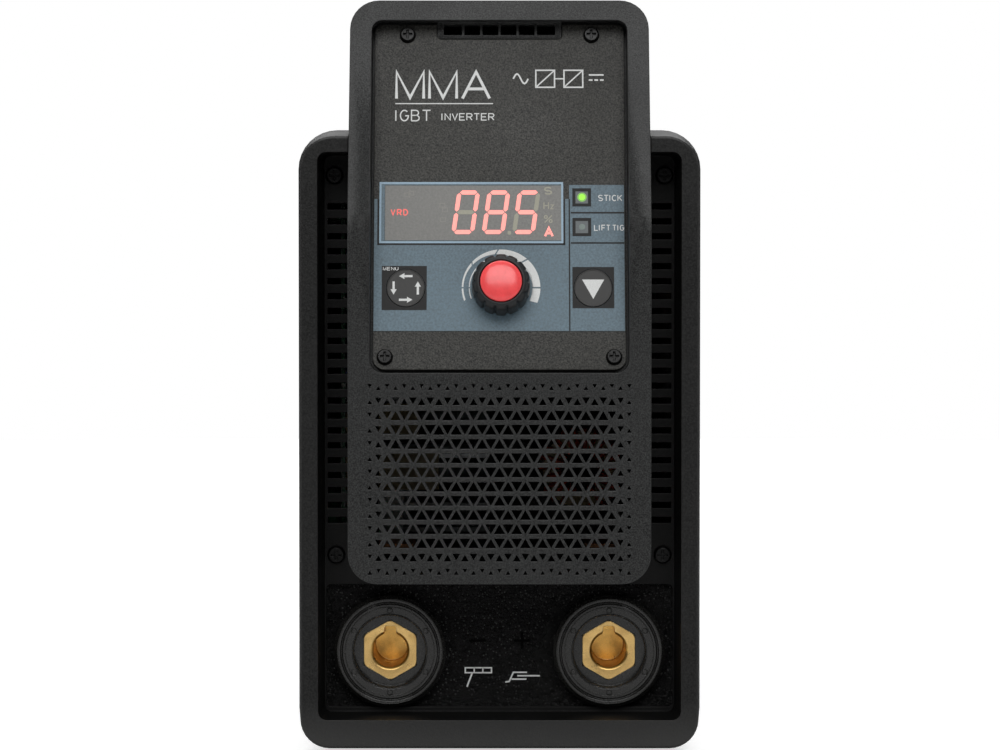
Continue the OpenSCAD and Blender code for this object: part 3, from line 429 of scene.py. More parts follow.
def rounded_copy(node, name, width, segments, slot, body="case", material=None, wanted=None,
                 reshape=None):
    """A copy of a CAD node with its flat faces whole again and its sharp edges rounded.

    Width is in millimetres. Wanted picks the edges, and reshape moves a corner beforehand.
    """
    shape = bmesh.new()
    shape.from_mesh(frame["nodes"][node].data)
    bmesh.ops.remove_doubles(shape, verts=shape.verts, dist=0.002 * MM)
    bmesh.ops.dissolve_limit(shape, angle_limit=FLAT_BELOW, verts=shape.verts,
                             edges=shape.edges, use_dissolve_boundaries=False)
    if reshape:
        for vertex in shape.verts:
            vertex.co = reshape(vertex.co)
    picked = [e for e in shape.edges if is_sharp(e) and (not wanted or wanted(e))]
    bmesh.ops.bevel(shape, geom=picked, offset=width * MM, offset_type="OFFSET",
                    segments=segments, profile=0.5, affect="EDGES", clamp_overlap=True)
    mesh = bpy.data.meshes.new(name)
    shape.to_mesh(mesh)
    shape.free()
    shade(mesh)
    copy = add_object(name, mesh)
    level = copy.modifiers.new("flat_faces", "WEIGHTED_NORMAL")
    level.keep_sharp = True
    return attach(copy, body, slot, material or slot, node)


def widen_vents(point):
    """Moves the corners of the slots above the panel, for wider slots with thinner bars."""
    # The row's heights up the panel, the CAD's spacing, then the wanted spacing
    row_low, row_middle, row_high = 133.4, 135.0, 137.7
    cad_pitch, cad_half, cad_last = 6.7, 19.7, 17.0
    pitch, half_row, half_bar, lowered = 6.85, 21.0, 0.5, 0.35
    up = (point - PANEL_ZERO).dot(UPWARD) / MM
    x = point.x / MM
    if not row_low < up < row_high or abs(x) > cad_half:
        return point
    bar = round(x / cad_pitch)
    if abs(x) > cad_last:
        x = math.copysign(half_row, x)
    else:
        x = bar * pitch + math.copysign(half_bar, x - bar * cad_pitch)
    lower = UPWARD * (-lowered * MM if up < row_middle else 0.0)
    return Vector((x * MM, point.y, point.z)) + lower


# ---- Flat shapes ----

# The overlay film's face, in millimetres out from the panel
FILM_FACE = 0.25


def bow(centre, radius, start, end, steps=10):
    """Points along an arc, with angles in degrees. Two radii make it an ellipse."""
    turns = [math.radians(start + (end - start) * i / steps) for i in range(steps + 1)]
    rx, ry = radius if isinstance(radius, tuple) else (radius, radius)
    return [(centre[0] + rx * math.cos(a), centre[1] + ry * math.sin(a)) for a in turns]


def disc(x, y, radius, steps=24):
    return bow((x, y), radius, 0, 360, steps)[:-1]


def rectangle(left, right, low, high, r=0.0):
    """A rectangle, with its corners rounded by a radius r."""
    if not r:
        return [(left, low), (right, low), (right, high), (left, high)]
    corners = ((right - r, low + r), (right - r, high - r), (left + r, high - r),
               (left + r, low + r))
    return [point for i, centre in enumerate(corners)
            for point in bow(centre, r, 90 * i - 90, 90 * i, 4)]


def stroke(points, width):
    """The outline of a pen stroke of even width along a line of points, with mitred bends."""
    points = [Vector(p) for p in points]
    left, right = [], []
    for i, point in enumerate(points):
        before = (point - points[i - 1]).normalized() if i else None
        after = (points[i + 1] - point).normalized() if i < len(points) - 1 else None
        along = ((before or after) + (after or before)).normalized()
        across = Vector((-along.y, along.x))
        flat = Vector((-(after or before).y, (after or before).x))
        reach = width / 2 / max(0.5, across.dot(flat))
        left.append(tuple(point + across * reach))
        right.append(tuple(point - across * reach))
    return left + right[::-1]


def frame_strips(left, right, low, high, width):
    """The four sides of a rectangular line, drawn inside the rectangle."""
    return [rectangle(left, right, low, low + width), rectangle(left, right, high - width, high),
            rectangle(left, left + width, low + width, high - width),
            rectangle(right - width, right, low + width, high - width)]


def extruded(name, outlines, place, low, high):
    """Thin solids with the given outlines, between two heights over a surface."""
    points, faces = [], []
    for outline in outlines:
        first, count = len(points), len(outline)
        area = sum(a[0] * b[1] - b[0] * a[1] for a, b in zip(outline, outline[1:] + outline[:1]))
        ring = outline if area > 0 else outline[::-1]
        points += [place(x, y, low) for x, y in ring] + [place(x, y, high) for x, y in ring]
        faces.append([first + i for i in reversed(range(count))])
        faces.append([first + count + i for i in range(count)])
        for i in range(count):
            j = (i + 1) % count
            faces.append([first + i, first + j, first + count + j, first + count + i])
    mesh = bpy.data.meshes.new(name)
    mesh.from_pydata(points, [], faces)
    return add_object(name, mesh)


def printed(name, outlines, material, slot, low=FILM_FACE, high=0.29, body="case"):
    """Ink on the leaning panel, between two heights in millimetres."""
    return attach(extruded(name, outlines, on_panel, low, high), body, slot, material)


# ---- Lettering, all of it generic ----

# Each letter's pen strokes, in a box one unit wide and one high
GLYPHS = {
    "A": [[(0, 0), (0.5, 1), (1, 0)], [(0.2, 0.36), (0.8, 0.36)]],
    "B": [[(0, 0), (0, 1), (0.5, 1)] + bow((0.5, 0.76), (0.38, 0.24), 80, -90, 8) + [(0.04, 0.52)],
          [(0.5, 0.52)] + bow((0.55, 0.26), (0.42, 0.26), 85, -85, 8) + [(0, 0)]],
    "C": [bow((0.55, 0.5), (0.55, 0.5), 50, 310, 14)],
    "D": [[(0, 0), (0, 1), (0.4, 1)] + bow((0.4, 0.5), (0.6, 0.5), 80, -80, 10)
          + [(0.4, 0), (0, 0)]],
    "E": [[(1, 1), (0, 1), (0, 0), (1, 0)], [(0, 0.5), (0.85, 0.5)]],
    "F": [[(1, 1), (0, 1), (0, 0)], [(0, 0.5), (0.85, 0.5)]],
    "G": [bow((0.5, 0.5), (0.5, 0.5), 45, 345, 16) + [(1, 0.48), (0.6, 0.48)]],
    "H": [[(0, 0), (0, 1)], [(1, 0), (1, 1)], [(0, 0.5), (1, 0.5)]],
    "I": [[(0, 0), (0, 1)]],
    "K": [[(0, 0), (0, 1)], [(0.95, 1), (0, 0.4)], [(0.3, 0.6), (1, 0)]],
    "L": [[(0, 1), (0, 0), (1, 0)]],
    "M": [[(0, 0), (0, 1), (0.5, 0.03), (1, 1), (1, 0)]],
    "N": [[(0, 0), (0, 1), (1, 0), (1, 1)]],
    "R": [[(0, 0), (0, 1), (0.6, 1)] + bow((0.6, 0.74), (0.4, 0.26), 80, -80, 8)
          + [(0.6, 0.48), (0, 0.48)], [(0.5, 0.48), (1, 0)]],
    "S": [bow((0.5, 0.75), (0.5, 0.25), 30, 270, 9) + bow((0.5, 0.25), (0.5, 0.25), 90, -150, 9)],
    "T": [[(0, 1), (1, 1)], [(0.5, 1), (0.5, 0)]],
    "U": [[(0, 1), (0, 0.4)] + bow((0.5, 0.4), (0.5, 0.4), 180, 360, 10) + [(1, 0.4), (1, 1)]],
    "V": [[(0, 1), (0.5, 0), (1, 1)]],
    "z": [[(0.1, 0.6), (0.9, 0.6), (0.1, 0), (0.9, 0)]],
    "%": [[(0.05, 0), (0.95, 1)], bow((0.2, 0.78), (0.18, 0.2), 0, 360, 10),
          bow((0.8, 0.22), (0.18, 0.2), 0, 360, 10)],
}


def lettering(words, left, low, height, width, gap, weight):
    """Pen strokes for a word, in millimetres on the panel. Gap is the space between letters."""
    outlines = []
    start = left
    for letter in words:
        for line in GLYPHS[letter]:
            points = [(start + x * width, low + y * height) for x, y in line]
            outlines.append(stroke(points, weight))
        start += gap * 1.5 if letter == "I" else gap + width
    return outlines


def make_title():
    """The process and the kind of source in plain words, a rule, and the sign of an inverter."""
    title = lettering("MMA", -38.7, 108.3, 10.4, 10.2, 2.2, 1.1)
    title += lettering("IGBT", -38.9, 99.6, 4.1, 3.0, 1.15, 0.46)
    title += lettering("INVERTER", -21.6, 99.9, 2.5, 1.95, 0.78, 0.38)
    title.append(rectangle(-39.1, -2.4, 106.1, 106.5))
    sine = [(5.2 + 5.6 * i / 12, 116 + 1.9 * math.sin(math.tau * i / 12)) for i in range(13)]
    title.append(stroke(sine, 0.6))
    converters = (13.4, 24.0)
    low, high = 112.4, 119.6
    for left in converters:
        title += frame_strips(left, left + 7.6, low, high, 0.55)
        title.append(stroke([(left + 0.5, low + 0.5), (left + 7.1, high - 0.5)], 0.5))
    title.append(rectangle(21.0, 24.0, 115.75, 116.25))
    solid_bar = rectangle(33.6, 39.2, 117.2, 117.8)
    dashes = [rectangle(33.6 + 2.1 * i, 35.0 + 2.1 * i, 115.2, 115.8) for i in range(3)]
    title += [solid_bar] + dashes
    printed("panel_title", title, "ink_white", "overlay_film", 0.0, 0.05)


# ---- The display ----

SEGMENTS = {"top": ((0, 1), (1, 1)), "middle": ((0, 0.5), (1, 0.5)), "bottom": ((0, 0), (1, 0)),
            "high_left": ((0, 1), (0, 0.5)), "low_left": ((0, 0.5), (0, 0)),
            "high_right": ((1, 1), (1, 0.5)), "low_right": ((1, 0.5), (1, 0))}
# The bars that are dark in each of the three digits
DARK_BARS = [{"middle"}, set(), {"high_right", "low_left"}]
DIGIT_LEFT = -17.1
DIGIT_PITCH = 11.3
DIGIT_SIZE = (6.9, 15.2)
DIGIT_LOW = 56.6
DIGIT_SLANT = 0.14
BAR_WIDTH = 1.6
BAR_GAP = 0.23
# Small unlit signs at the left of the window, which the photograph doesn't show clearly
SYMBOLS = ((-35.5, 70.0), (-34.0, 70.6), (-22.4, 66.0), (-21.4, 64.2), (-22.2, 60.4))


def segment(place, ends):
    """One bar of a digit: pointed at both ends, and leaning with the digit."""
    (ax, ay), (bx, by) = ends
    start = Vector((ax * DIGIT_SIZE[0], ay * DIGIT_SIZE[1]))
    end = Vector((bx * DIGIT_SIZE[0], by * DIGIT_SIZE[1]))
    along = (end - start).normalized()
    across = Vector((-along.y, along.x)) * BAR_WIDTH / 2
    tip = along * BAR_GAP
    neck = tip + along * BAR_WIDTH / 2
    ring = [start + tip, start + neck - across, end - neck - across, end - tip,
            end - neck + across, start + neck + across]
    left = DIGIT_LEFT + place * DIGIT_PITCH
    return [(left + p.x + p.y * DIGIT_SLANT, DIGIT_LOW + p.y) for p in ring]


def make_display():
    """Three lit digits and the unit signs, on the face of the smoked window."""
    lit, unlit = [], []
    for place, dark in enumerate(DARK_BARS):
        for name, ends in SEGMENTS.items():
            (unlit if name in dark else lit).append(segment(place, ends))
    unlit.append(rectangle(3.0, 4.4, 55.6, 57.0, 0.5))
    unlit += lettering("S", 16.9, 71.2, 2.5, 2.5, 0.6, 0.55)
    unlit += lettering("H", 16.6, 65.5, 2.5, 1.7, 0.5, 0.45)
    unlit += lettering("z", 18.9, 65.5, 2.5, 1.4, 0.5, 0.4)
    unlit += lettering("%", 16.7, 60.2, 2.8, 3.0, 0.5, 0.42)
    lit += lettering("A", 17.0, 55.0, 3.2, 2.8, 0.5, 0.85)
    dim = []
    for left, low in SYMBOLS:
        dim += frame_strips(left, left + 2.2, low, low + 1.8, 0.35)
    mark = lettering("VRD", -40.4, 63.1, 2.1, 1.4, 0.95, 0.46)
    printed("display_unlit", unlit, "segment_unlit", "display_glass", high=0.275)
    printed("display_symbols", dim, "segment_dim", "display_glass", high=0.27)
    printed("display_lit", lit, "glow_red", "display_glass", high=0.285)
    printed("display_mark", mark, "glow_mark", "display_glass", high=0.28)


# ---- Print on the overlay ----

KEY_X = 34.8
KEY_V = 35.2
KEY_HOLE = 7.32
# The ink on the keys, from and to, out from the panel
KEY_SIGN = (0.35, 0.39)
# Left, right, low and high of each key's black square, and the middle of its hole
KEY_SQUARES = [(-43.7, -27.0, 26.8, 43.6, -KEY_X), (27.1, 42.6, 27.5, 43.2, KEY_X)]
LAMP_X = 30.7
LAMP_ROWS = (69.9, 58.5)
# The outside of the display's light border
BORDER = (-44.8, 23.8, 52.3, 75.8)


def square_with_hole(left, right, low, high, hole_x):
    """A square in two halves round a key's hole."""
    top = bow((hole_x, KEY_V), KEY_HOLE, 180, 0, 24)
    bottom = bow((hole_x, KEY_V), KEY_HOLE, 0, -180, 24)
    return [[(left, KEY_V)] + top + [(right, KEY_V), (right, high), (left, high)],
            [(right, KEY_V)] + bottom + [(left, KEY_V), (left, low), (right, low)]]


def make_overlay_print():
    """Black borders, light lines, key squares and labels on the blue film."""
    left, right, low, _ = BORDER
    below, line_top = low - 0.7, 69.3
    black = [rectangle(-45.4, 24.5, below, low), rectangle(-45.5, left, below, line_top),
             rectangle(right, 24.5, below, line_top), rectangle(25.8, 26.3, 18.9, line_top)]
    black += [rectangle(26.6, 46.5, v - 0.3, v + 0.3) for v in (64.0, 52.4)]
    for v in LAMP_ROWS:
        black += frame_strips(LAMP_X - 3.5, LAMP_X + 3.5, v - 3.5, v + 3.5, 1.15)
    for square in KEY_SQUARES:
        black += square_with_hole(*square)
    printed("overlay_black", black, "ink_black", "overlay_film")
    pale = frame_strips(*BORDER, 0.75)
    printed("overlay_pale_lines", pale, "ink_pale", "overlay_film")
    labels = lettering("MENU", -43.2, 42.0, 1.1, 1.05, 0.45, 0.22)
    labels += lettering("STICK", 37.0, 68.6, 2.1, 1.5, 0.6, 0.34)
    labels += lettering("LIFT", 35.4, 57.2, 2.0, 1.2, 0.62, 0.33)
    labels += lettering("TIG", 42.2, 57.2, 2.0, 1.3, 0.6, 0.33)
    labels += make_dial()
    printed("overlay_white", labels, "ink_white", "overlay_film", 0.28, 0.34)


def make_dial():
    """The scale round the knob: a band that widens clockwise, in six steps, and a thin ring."""
    outer, inner = 14.6, 12.8
    off_centre = 1.2
    ring = (12.0, 11.6)
    half_gap = 1.2
    joints = [201.7, 180, 138, 94, 48, 0, -24.3]
    blocks = []
    for start, end in zip(joints, joints[1:]):
        a, b = start - half_gap, end + half_gap
        inside = bow((KNOB_AT[0] - off_centre, KNOB_AT[1]), inner, b, a, 8)
        blocks.append(bow(KNOB_AT, outer, a, b, 8) + inside)
        blocks.append(bow(KNOB_AT, ring[0], a, b, 8) + bow(KNOB_AT, ring[1], b, a, 8))
    return blocks


def make_key_signs():
    """Four turning arrows on one key, and a pointer on the other."""
    arrows = []
    reach, half, tail, head = 4.5, 2.5, 0.42, 1.15
    shaft = [(-half + 1.9, -tail), (half, -tail), (half, tail), (-half + 1.9, tail)]
    point = [(-half, 0), (-half + 2.0, -head), (-half + 2.0, head)]
    for quarter in range(4):
        turn = Matrix.Rotation(math.radians(90 * quarter), 2)
        for outline in (shaft, point):
            moved = [turn @ Vector((x, y + reach)) for x, y in outline]
            arrows.append([(-KEY_X + p.x, KEY_V + p.y) for p in moved])
    printed("menu_arrows", arrows, "ink_white", "key_black", *KEY_SIGN, "menu_key")
    pointer = [(KEY_X - 4.1, KEY_V + 3.2), (KEY_X + 4.1, KEY_V + 3.2), (KEY_X, KEY_V - 4.2)]
    printed("select_pointer", [pointer], "ink_white", "key_black", *KEY_SIGN, "select_key")


def make_lamp_windows():
    """Square smoked windows over the two mode lamps, with the upper lamp lit."""
    half, lens, halo = 2.9, 1.15, 1.75
    lamps = ("upper", "lamp_lit"), ("lower", "lamp_dark")
    for v, (name, material) in zip(LAMP_ROWS, lamps):
        window = rectangle(LAMP_X - half, LAMP_X + half, v - half, v + half, 0.3)
        at = (LAMP_X + 0.1, v + 0.1)
        printed(name + "_window", [window], "lamp_window", "display_glass", -0.5, 0.2)
        printed(name + "_lamp", [disc(*at, lens)], material, "led_green", 0.1, 0.24)
        if name == "upper":
            printed("upper_glow", [disc(*at, halo)], "lamp_halo", "led_green", 0.1, 0.22)


# ---- Turned and swept shapes ----


def turned(name, place, profile, steps, ripple=None):
    """A profile of (radius, height) points turned about an axis.

    Ripple gives a factor for the radius at an angle. A profile that doesn't end where it
    began is closed with a flat face at each end.
    """
    shape = bmesh.new()
    rings = []
    for radius, height in profile:
        ring = []
        for i in range(steps):
            angle = math.tau * i / steps
            r = radius * (ripple(angle, radius) if ripple else 1.0)
            ring.append(shape.verts.new(place(r * math.cos(angle), r * math.sin(angle), height)))
        rings.append(ring)
    closed = profile[0] == profile[-1]
    for low, high in zip(rings, rings[1:]):
        for i in range(steps):
            j = (i + 1) % steps
            shape.faces.new((low[i], low[j], high[j], high[i]))
    if not closed and profile[0][0]:
        shape.faces.new(rings[0][::-1])
    if not closed and profile[-1][0]:
        shape.faces.new(rings[-1])
    bmesh.ops.remove_doubles(shape, verts=shape.verts, dist=0.001 * MM)
    return finished_mesh(name, shape)


def finished_mesh(name, shape):
    """Turns a bmesh into a shaded object, with its normals outwards."""
    bmesh.ops.recalc_face_normals(shape, faces=shape.faces)
    mesh = bpy.data.meshes.new(name)
    shape.to_mesh(mesh)
    shape.free()
    shade(mesh)
    return add_object(name, mesh)


def swept(name, points, radius, sides=8):
    """A round rod along a line of points in metres."""
    shape = bmesh.new()
    rings = []
    side = None
    for i, point in enumerate(points):
        after = points[min(i + 1, len(points) - 1)]
        before = points[max(i - 1, 0)]
        along = (after - before).normalized()
        side = side or along.orthogonal()
        side = (side - along * side.dot(along)).normalized()
        other = along.cross(side)
        turns = [math.tau * k / sides for k in range(sides)]
        rings.append([shape.verts.new(point + (side * math.cos(a) + other * math.sin(a)) * radius)
                      for a in turns])
    for low, high in zip(rings, rings[1:]):
        for k in range(sides):
            shape.faces.new((low[k], low[(k + 1) % sides], high[(k + 1) % sides], high[k]))
    shape.faces.new(rings[0][::-1])
    shape.faces.new(rings[-1])
    return finished_mesh(name, shape)


def about_knob(x, v, w):
    return on_panel(KNOB_AT[0] + x, KNOB_AT[1] + v, w)


def make_knob():
    """The fluted knob and its red convex cap."""
    flute_count, flute_depth, fluted_beyond = 14, 0.085, 9.4

    def flutes(angle, radius):
        notch = max(0.0, math.cos(angle * flute_count)) ** 5
        return 1.0 - flute_depth * notch if radius > fluted_beyond else 1.0

    skirt = [(0.0, 1.2), (6.4, 1.2), (10.4, 0.95), (10.9, 1.5), (10.82, 4.0), (10.7, 7.0),
             (10.6, 9.6), (10.25, 10.4), (9.3, 11.25), (8.75, 11.5), (8.3, 11.55), (8.05, 11.4),
             (7.95, 10.9), (7.95, 10.2), (0.0, 10.2)]
    knob = turned("knob", about_knob, skirt, 168, flutes)
    attach(knob, "control_knob", "knob_black", "knob_black", "knob_body")
    dome = [(0.0, 10.0), (7.6, 10.0), (7.7, 10.4), (7.7, 11.5), (7.55, 11.85), (7.1, 12.15),
            (5.8, 12.5), (3.9, 12.8), (1.9, 12.95), (0.0, 13.0)]
    cap = turned("knob_cap_red", about_knob, dome, 64)
    attach(cap, "control_knob", "knob_red", "knob_red", "knob_cap")


def make_key_rims():
    """A raised bead round each key's face."""
    bead = [(6.6, 0.3), (6.65, 0.42), (6.85, 0.48), (7.05, 0.42), (7.1, 0.3), (6.6, 0.3)]
    for name, key_x in (("menu", -KEY_X), ("select", KEY_X)):
        def about_key(x, v, w, key_x=key_x):
            return on_panel(key_x + x, KEY_V + v, w)

        rim = turned(name + "_rim", about_key, bead, 64)
        attach(rim, name + "_key", "key_black", "ink_grey")


# ---- The connection bay ----

# Depths behind the front rim, in millimetres
BAY_FLOOR = 26.5
COLLAR_FACE = 20.0
INSERT_FACE = 24.6
SOCKET_X = 41.6
SOCKET_Z = 39.5
SIDES = ((-1, "negative"), (1, "positive"))


def in_bay(x, z, height):
    return behind_rim(x, z, BAY_FLOOR - height)


def bay_mark(name, outlines, material, high):
    attach(extruded(name, outlines, in_bay, -0.05, high), "case", "case_black", material)


def make_bay_marks():
    """Raised polarity signs, with a printed electrode holder and earth clamp under them."""
    z = 43.0
    sign_height, ink_height = 0.25, 0.08
    minus = rectangle(-11.4, -5.2, z - 0.5, z + 0.5)
    bay_mark("minus_sign", [minus], "sign_black", sign_height)
    plus = [rectangle(5.5, 11.7, z - 0.5, z + 0.5), rectangle(8.1, 9.1, z + 0.5, z + 3.2),
            rectangle(8.1, 9.1, z - 3.2, z - 0.5)]
    bay_mark("plus_sign", plus, "sign_black", sign_height)
    holder = frame_strips(-13.3, -2.8, 30.4, 32.8, 0.5)
    holder += [rectangle(-9.9, -9.4, 30.4, 32.8), rectangle(-6.6, -6.1, 30.4, 32.8)]
    holder.append(stroke([(-10.4, 30.5), (-12.4, 25.3)], 0.6))
    clamp = [[(2.2, 27.1), (3.7, 27.3), (5.3, 30.8), (10.5, 30.8)], [(4.6, 28.2), (10.3, 28.2)],
             [(6.8, 29.5), (15.4, 29.5)]]
    clamp = [stroke(line, 0.55) for line in clamp]
    bay_mark("bay_pictograms", holder + clamp, "ink_white", ink_height)


def socket_outline(angle, radius):
    """Turns radii into a hexagon on the outside, and cuts the keyway at the top of the bore."""
    half_flats, keyway_reach, keyway_half = 10.0, 9.2, 2.25
    hexagon_beyond, bore_wall = 9.5, (6.505, 8)
    sixth = math.radians(60)
    if radius > hexagon_beyond:
        flat = half_flats / math.cos((angle + sixth / 2) % sixth - sixth / 2)
        return min(radius, flat) / radius
    lean = abs(angle - math.radians(90))
    if bore_wall[0] < radius < bore_wall[1] and lean < sixth:
        slot = min(keyway_reach / math.cos(lean), keyway_half / max(0.02, math.sin(lean)))
        return max(radius, slot) / radius
    return 1.0


def make_inserts():
    """Brass sockets: a hexagon with turned corners, and a keyed bore."""
    profile = [(0.0, -22.0), (6.2, -22.0), (6.5, -21.7), (6.5, -12.0), (6.51, -12.0), (6.51, -0.9),
               (7.35, -0.04), (7.5, 0.0), (11.0, 0.0), (11.3, -0.2), (11.6, -0.8), (11.6, -7.4),
               (9.0, -7.4), (9.0, -24.4), (6.0, -24.4), (6.0, -39.4), (0.0, -39.4)]
    bore_depth, bore_reach = 22.1 * MM, 9.3 * MM
    for side, name in SIDES:
        def about_socket(x, z, height, side=side):
            return behind_rim(SOCKET_X * side + x, SOCKET_Z + z, INSERT_FACE - height)

        insert = turned(name + "_brass", about_socket, profile, 96, socket_outline)
        attach(insert, "case", "brass", "brass", name + "_insert")
        insert.data.materials.append(MATERIALS["brass_bore"])
        axis = about_socket(0, 0, 0)
        for face in insert.data.polygons:
            away = face.center - axis
            inside = 0.1 * MM < away.y < bore_depth and math.hypot(away.x, away.z) < bore_reach
            if inside and face.normal.dot(away) < 0.001:
                face.material_index = 1


def make_socket_rings():
    """Fine turned rings on the socket collars, with the ejector marks that moulding leaves."""
    mark_ring, mark_radius = 15.6, 0.95
    section = [(-0.22, -0.1), (-0.16, 0.1), (0.0, 0.16), (0.16, 0.1), (0.22, -0.1), (-0.22, -0.1)]
    for side, name in SIDES:
        def about_socket(x, z, height, side=side):
            return behind_rim(SOCKET_X * side + x, SOCKET_Z + z, COLLAR_FACE - height)

        for i, radius in enumerate((14.1, 16.9, 18.4, 19.9)):
            bead = [(radius + out, height) for out, height in section]
            ring = turned(f"{name}_ring_{i}", about_socket, bead, 72)
            attach(ring, "case", "part_black", "collar_black")
        turns = [math.radians(30 + 60 * k) for k in range(6)]
        marks = [disc(mark_ring * math.cos(a), mark_ring * math.sin(a), mark_radius, 16)
                 for a in turns]
        marks = extruded(name + "_ejector_marks", marks, about_socket, -0.1, 0.07)
        attach(marks, "case", "part_black", "collar_black")


# ---- The inside and the back ----


def make_choke_turns():
    """Enamelled wire wound round the choke's core, turn beside turn."""
    x, z, depth = 32.0, 106.0, 73.0
    turns = 21
    first, spread = -75, 330
    loop = [Vector(p) for p in rectangle(7.8, 16.2, -8.0, 8.0, 2.4)]
    points = []
    for turn in range(turns):
        for i, (radius, deep) in enumerate(loop):
            share = (turn + i / len(loop)) / turns
            angle = math.radians(first + spread * share)
            points.append(behind_rim(x + radius * math.cos(angle), z + radius * math.sin(angle),
                                     depth + deep))
    wire = swept("choke_turns", points, 0.9 * MM)
    attach(wire, "case", "enamel_red", "enamel_red", "choke_winding")


FAN_AXIS_Z = 92.0
FAN_MIDDLE = 269.0
BLADES = 7
BLADE_ROOT = 19.2
BLADE_TIP = 53.8
BLADE_SPREAD = math.radians(56)
BLADE_SWEEP = 0.22


def about_fan(x, z, height):
    """A point about the fan's axis, with its height towards the front."""
    return behind_rim(x, FAN_AXIS_Z + z, FAN_MIDDLE - height)


def blade_rows(shape, blade, rows, columns):
    """The front and back corners of one cambered blade, row by row from the hub to the tip."""
    front, back = [], []
    for i in range(rows):
        out = i / (rows - 1)
        radius = BLADE_ROOT + (BLADE_TIP - BLADE_ROOT) * out
        front.append([])
        back.append([])
        for k in range(columns):
            s = k / (columns - 1)
            angle = math.tau * blade / BLADES + BLADE_SPREAD * (s - 0.5) + BLADE_SWEEP * out
            height = 12.0 * (0.5 - s) + 2.2 * math.sin(math.pi * s)
            thick = 0.3 + 0.75 * math.sin(math.pi * min(1.0, s * 1.2 + 0.05)) ** 0.5
            x, z = radius * math.cos(angle), radius * math.sin(angle)
            front[i].append(shape.verts.new(about_fan(x, z, height + thick / 2)))
            back[i].append(shape.verts.new(about_fan(x, z, height - thick / 2)))
    return front, back


def make_rotor():
    """A fan rotor: a domed hub and wide cambered blades, each a little under the next."""
    rows, columns = 7, 9
    shape = bmesh.new()
    for blade in range(BLADES):
        front, back = blade_rows(shape, blade, rows, columns)
        for i in range(rows - 1):
            for k in range(columns - 1):
                a, b, c, d = (i, k), (i, k + 1), (i + 1, k + 1), (i + 1, k)
                shape.faces.new([front[m][n] for m, n in (a, b, c, d)])
                shape.faces.new([back[m][n] for m, n in (a, d, c, b)])
        rim = [(0, k) for k in range(columns)] + [(i, columns - 1) for i in range(1, rows)]
        rim += [(rows - 1, k) for k in reversed(range(columns - 1))]
        rim += [(i, 0) for i in reversed(range(1, rows - 1))]
        for (a, b), (c, d) in zip(rim, rim[1:] + rim[:1]):
            shape.faces.new((front[a][b], back[a][b], back[c][d], front[c][d]))
    attach(finished_mesh("fan_blades", shape), "fan_impeller", "part_black", "part_black",
           "fan_rotor")
    hub = [(0.0, 9.4), (12.0, 9.2), (17.5, 8.2), (19.4, 6.2), (19.8, 3.0), (19.8, -8.6),
           (0.0, -8.6)]
    attach(turned("fan_hub", about_fan, hub, 72), "fan_impeller", "part_black", "part_black")
    lip = [(50.5, -9.8), (51.2, -9.4), (57.0, -9.2), (57.0, -11.4), (51.2, -11.2), (50.5, -10.8),
           (50.5, -9.8)]
    attach(turned("fan_throat", about_fan, lip, 96), "case", "part_black", "part_black")


def make_rocker_signs():
    """The on and off signs, laid on the rocker's sloping faces."""
    skin = frame["nodes"]["power_switch_rocker"].data
    rocker = BVHTree.FromPolygons([v.co for v in skin.vertices],
                                  [p.vertices for p in skin.polygons])
    behind_it = 0.2

    def on_rocker(x, z, height):
        start = Vector((x * MM, behind_it, z * MM))
        hit, normal = rocker.ray_cast(start, Vector((0, -1, 0)))[:2]
        return hit + normal * height * MM

    x, off_z, steps = -32.0, 186.2, 24
    ring, hole = disc(x, off_z, 1.5, steps), disc(x, off_z, 1.05, steps)
    signs = []
    for i in range(steps):
        j = (i + 1) % steps
        signs.append([ring[i], ring[j], hole[j], hole[i]])
    signs.append(rectangle(x - 0.25, x + 0.25, 193.2, 196.6))
    attach(extruded("rocker_signs", signs, on_rocker, -0.02, 0.04), "power_rocker", "switch_red",
           "ink_white")


def make_rating_lines():
    """Blank ruled boxes on the plate at the back, where a maker would print its data."""
    low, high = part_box("rating_plate")

    def on_plate(x, z, height):
        return Vector((x * MM, high.y + height * MM, z * MM))

    left, right = low.x / MM + 2, high.x / MM - 2
    bottom, top = low.z / MM + 1.6, high.z / MM - 1.6
    lines = frame_strips(left, right, bottom, top, 0.3)
    lines += [rectangle(left, right, bottom + step, bottom + step + 0.2) for step in (3.2, 6.4)]
    lines += [rectangle(x, x + 0.2, bottom, top) for x in (-14.0, 6.0, 20.0)]
    attach(extruded("rating_lines", lines, on_plate, -0.02, 0.03), "case", "rating_silver",
           "ink_black")


def make_bay_grain_and_painted_shade(shell):
    """A coarser, glossier grain on the face that the sockets stand in, darkened as painted shade, and a recess
    darkened as painted shade.
    """
    in_rim, floor_from = 3, 16
    bay_top = 66 * MM
    bay, recess = 1, 2
    mesh = shell.data
    mesh.materials.append(MATERIALS["bay_black"])
    mesh.materials.append(MATERIALS["recess_black"])
    # Faces of the bay's floor are darkened as painted shade under the plate, and faces deeper than the rim's edge
    # as painted shade in the recess
    for face in mesh.polygons:
        depth = (face.center.y - RIM_Y) / MM
        if face.normal.y < -0.9 and depth > floor_from and face.center.z < bay_top:
            face.material_index = bay
        elif depth > in_rim:
            face.material_index = recess


# ---- Camera, floor and light ----


def make_camera():
    """Level with the control knob, looking a little down, as the photograph does."""
    distance, height, pitch = 1.2, 0.1785, 1.6
    data = bpy.data.cameras.new("camera")
    data.lens = 116.1
    data.sensor_width = 36
    data.clip_start = 0.05
    data.clip_end = 50
    camera = add_object("camera", data)
    camera.location = (0.0002, RIM_Y - distance, height)
    camera.rotation_euler = (math.radians(90 - pitch), 0, 0)
    bpy.context.scene.camera = camera


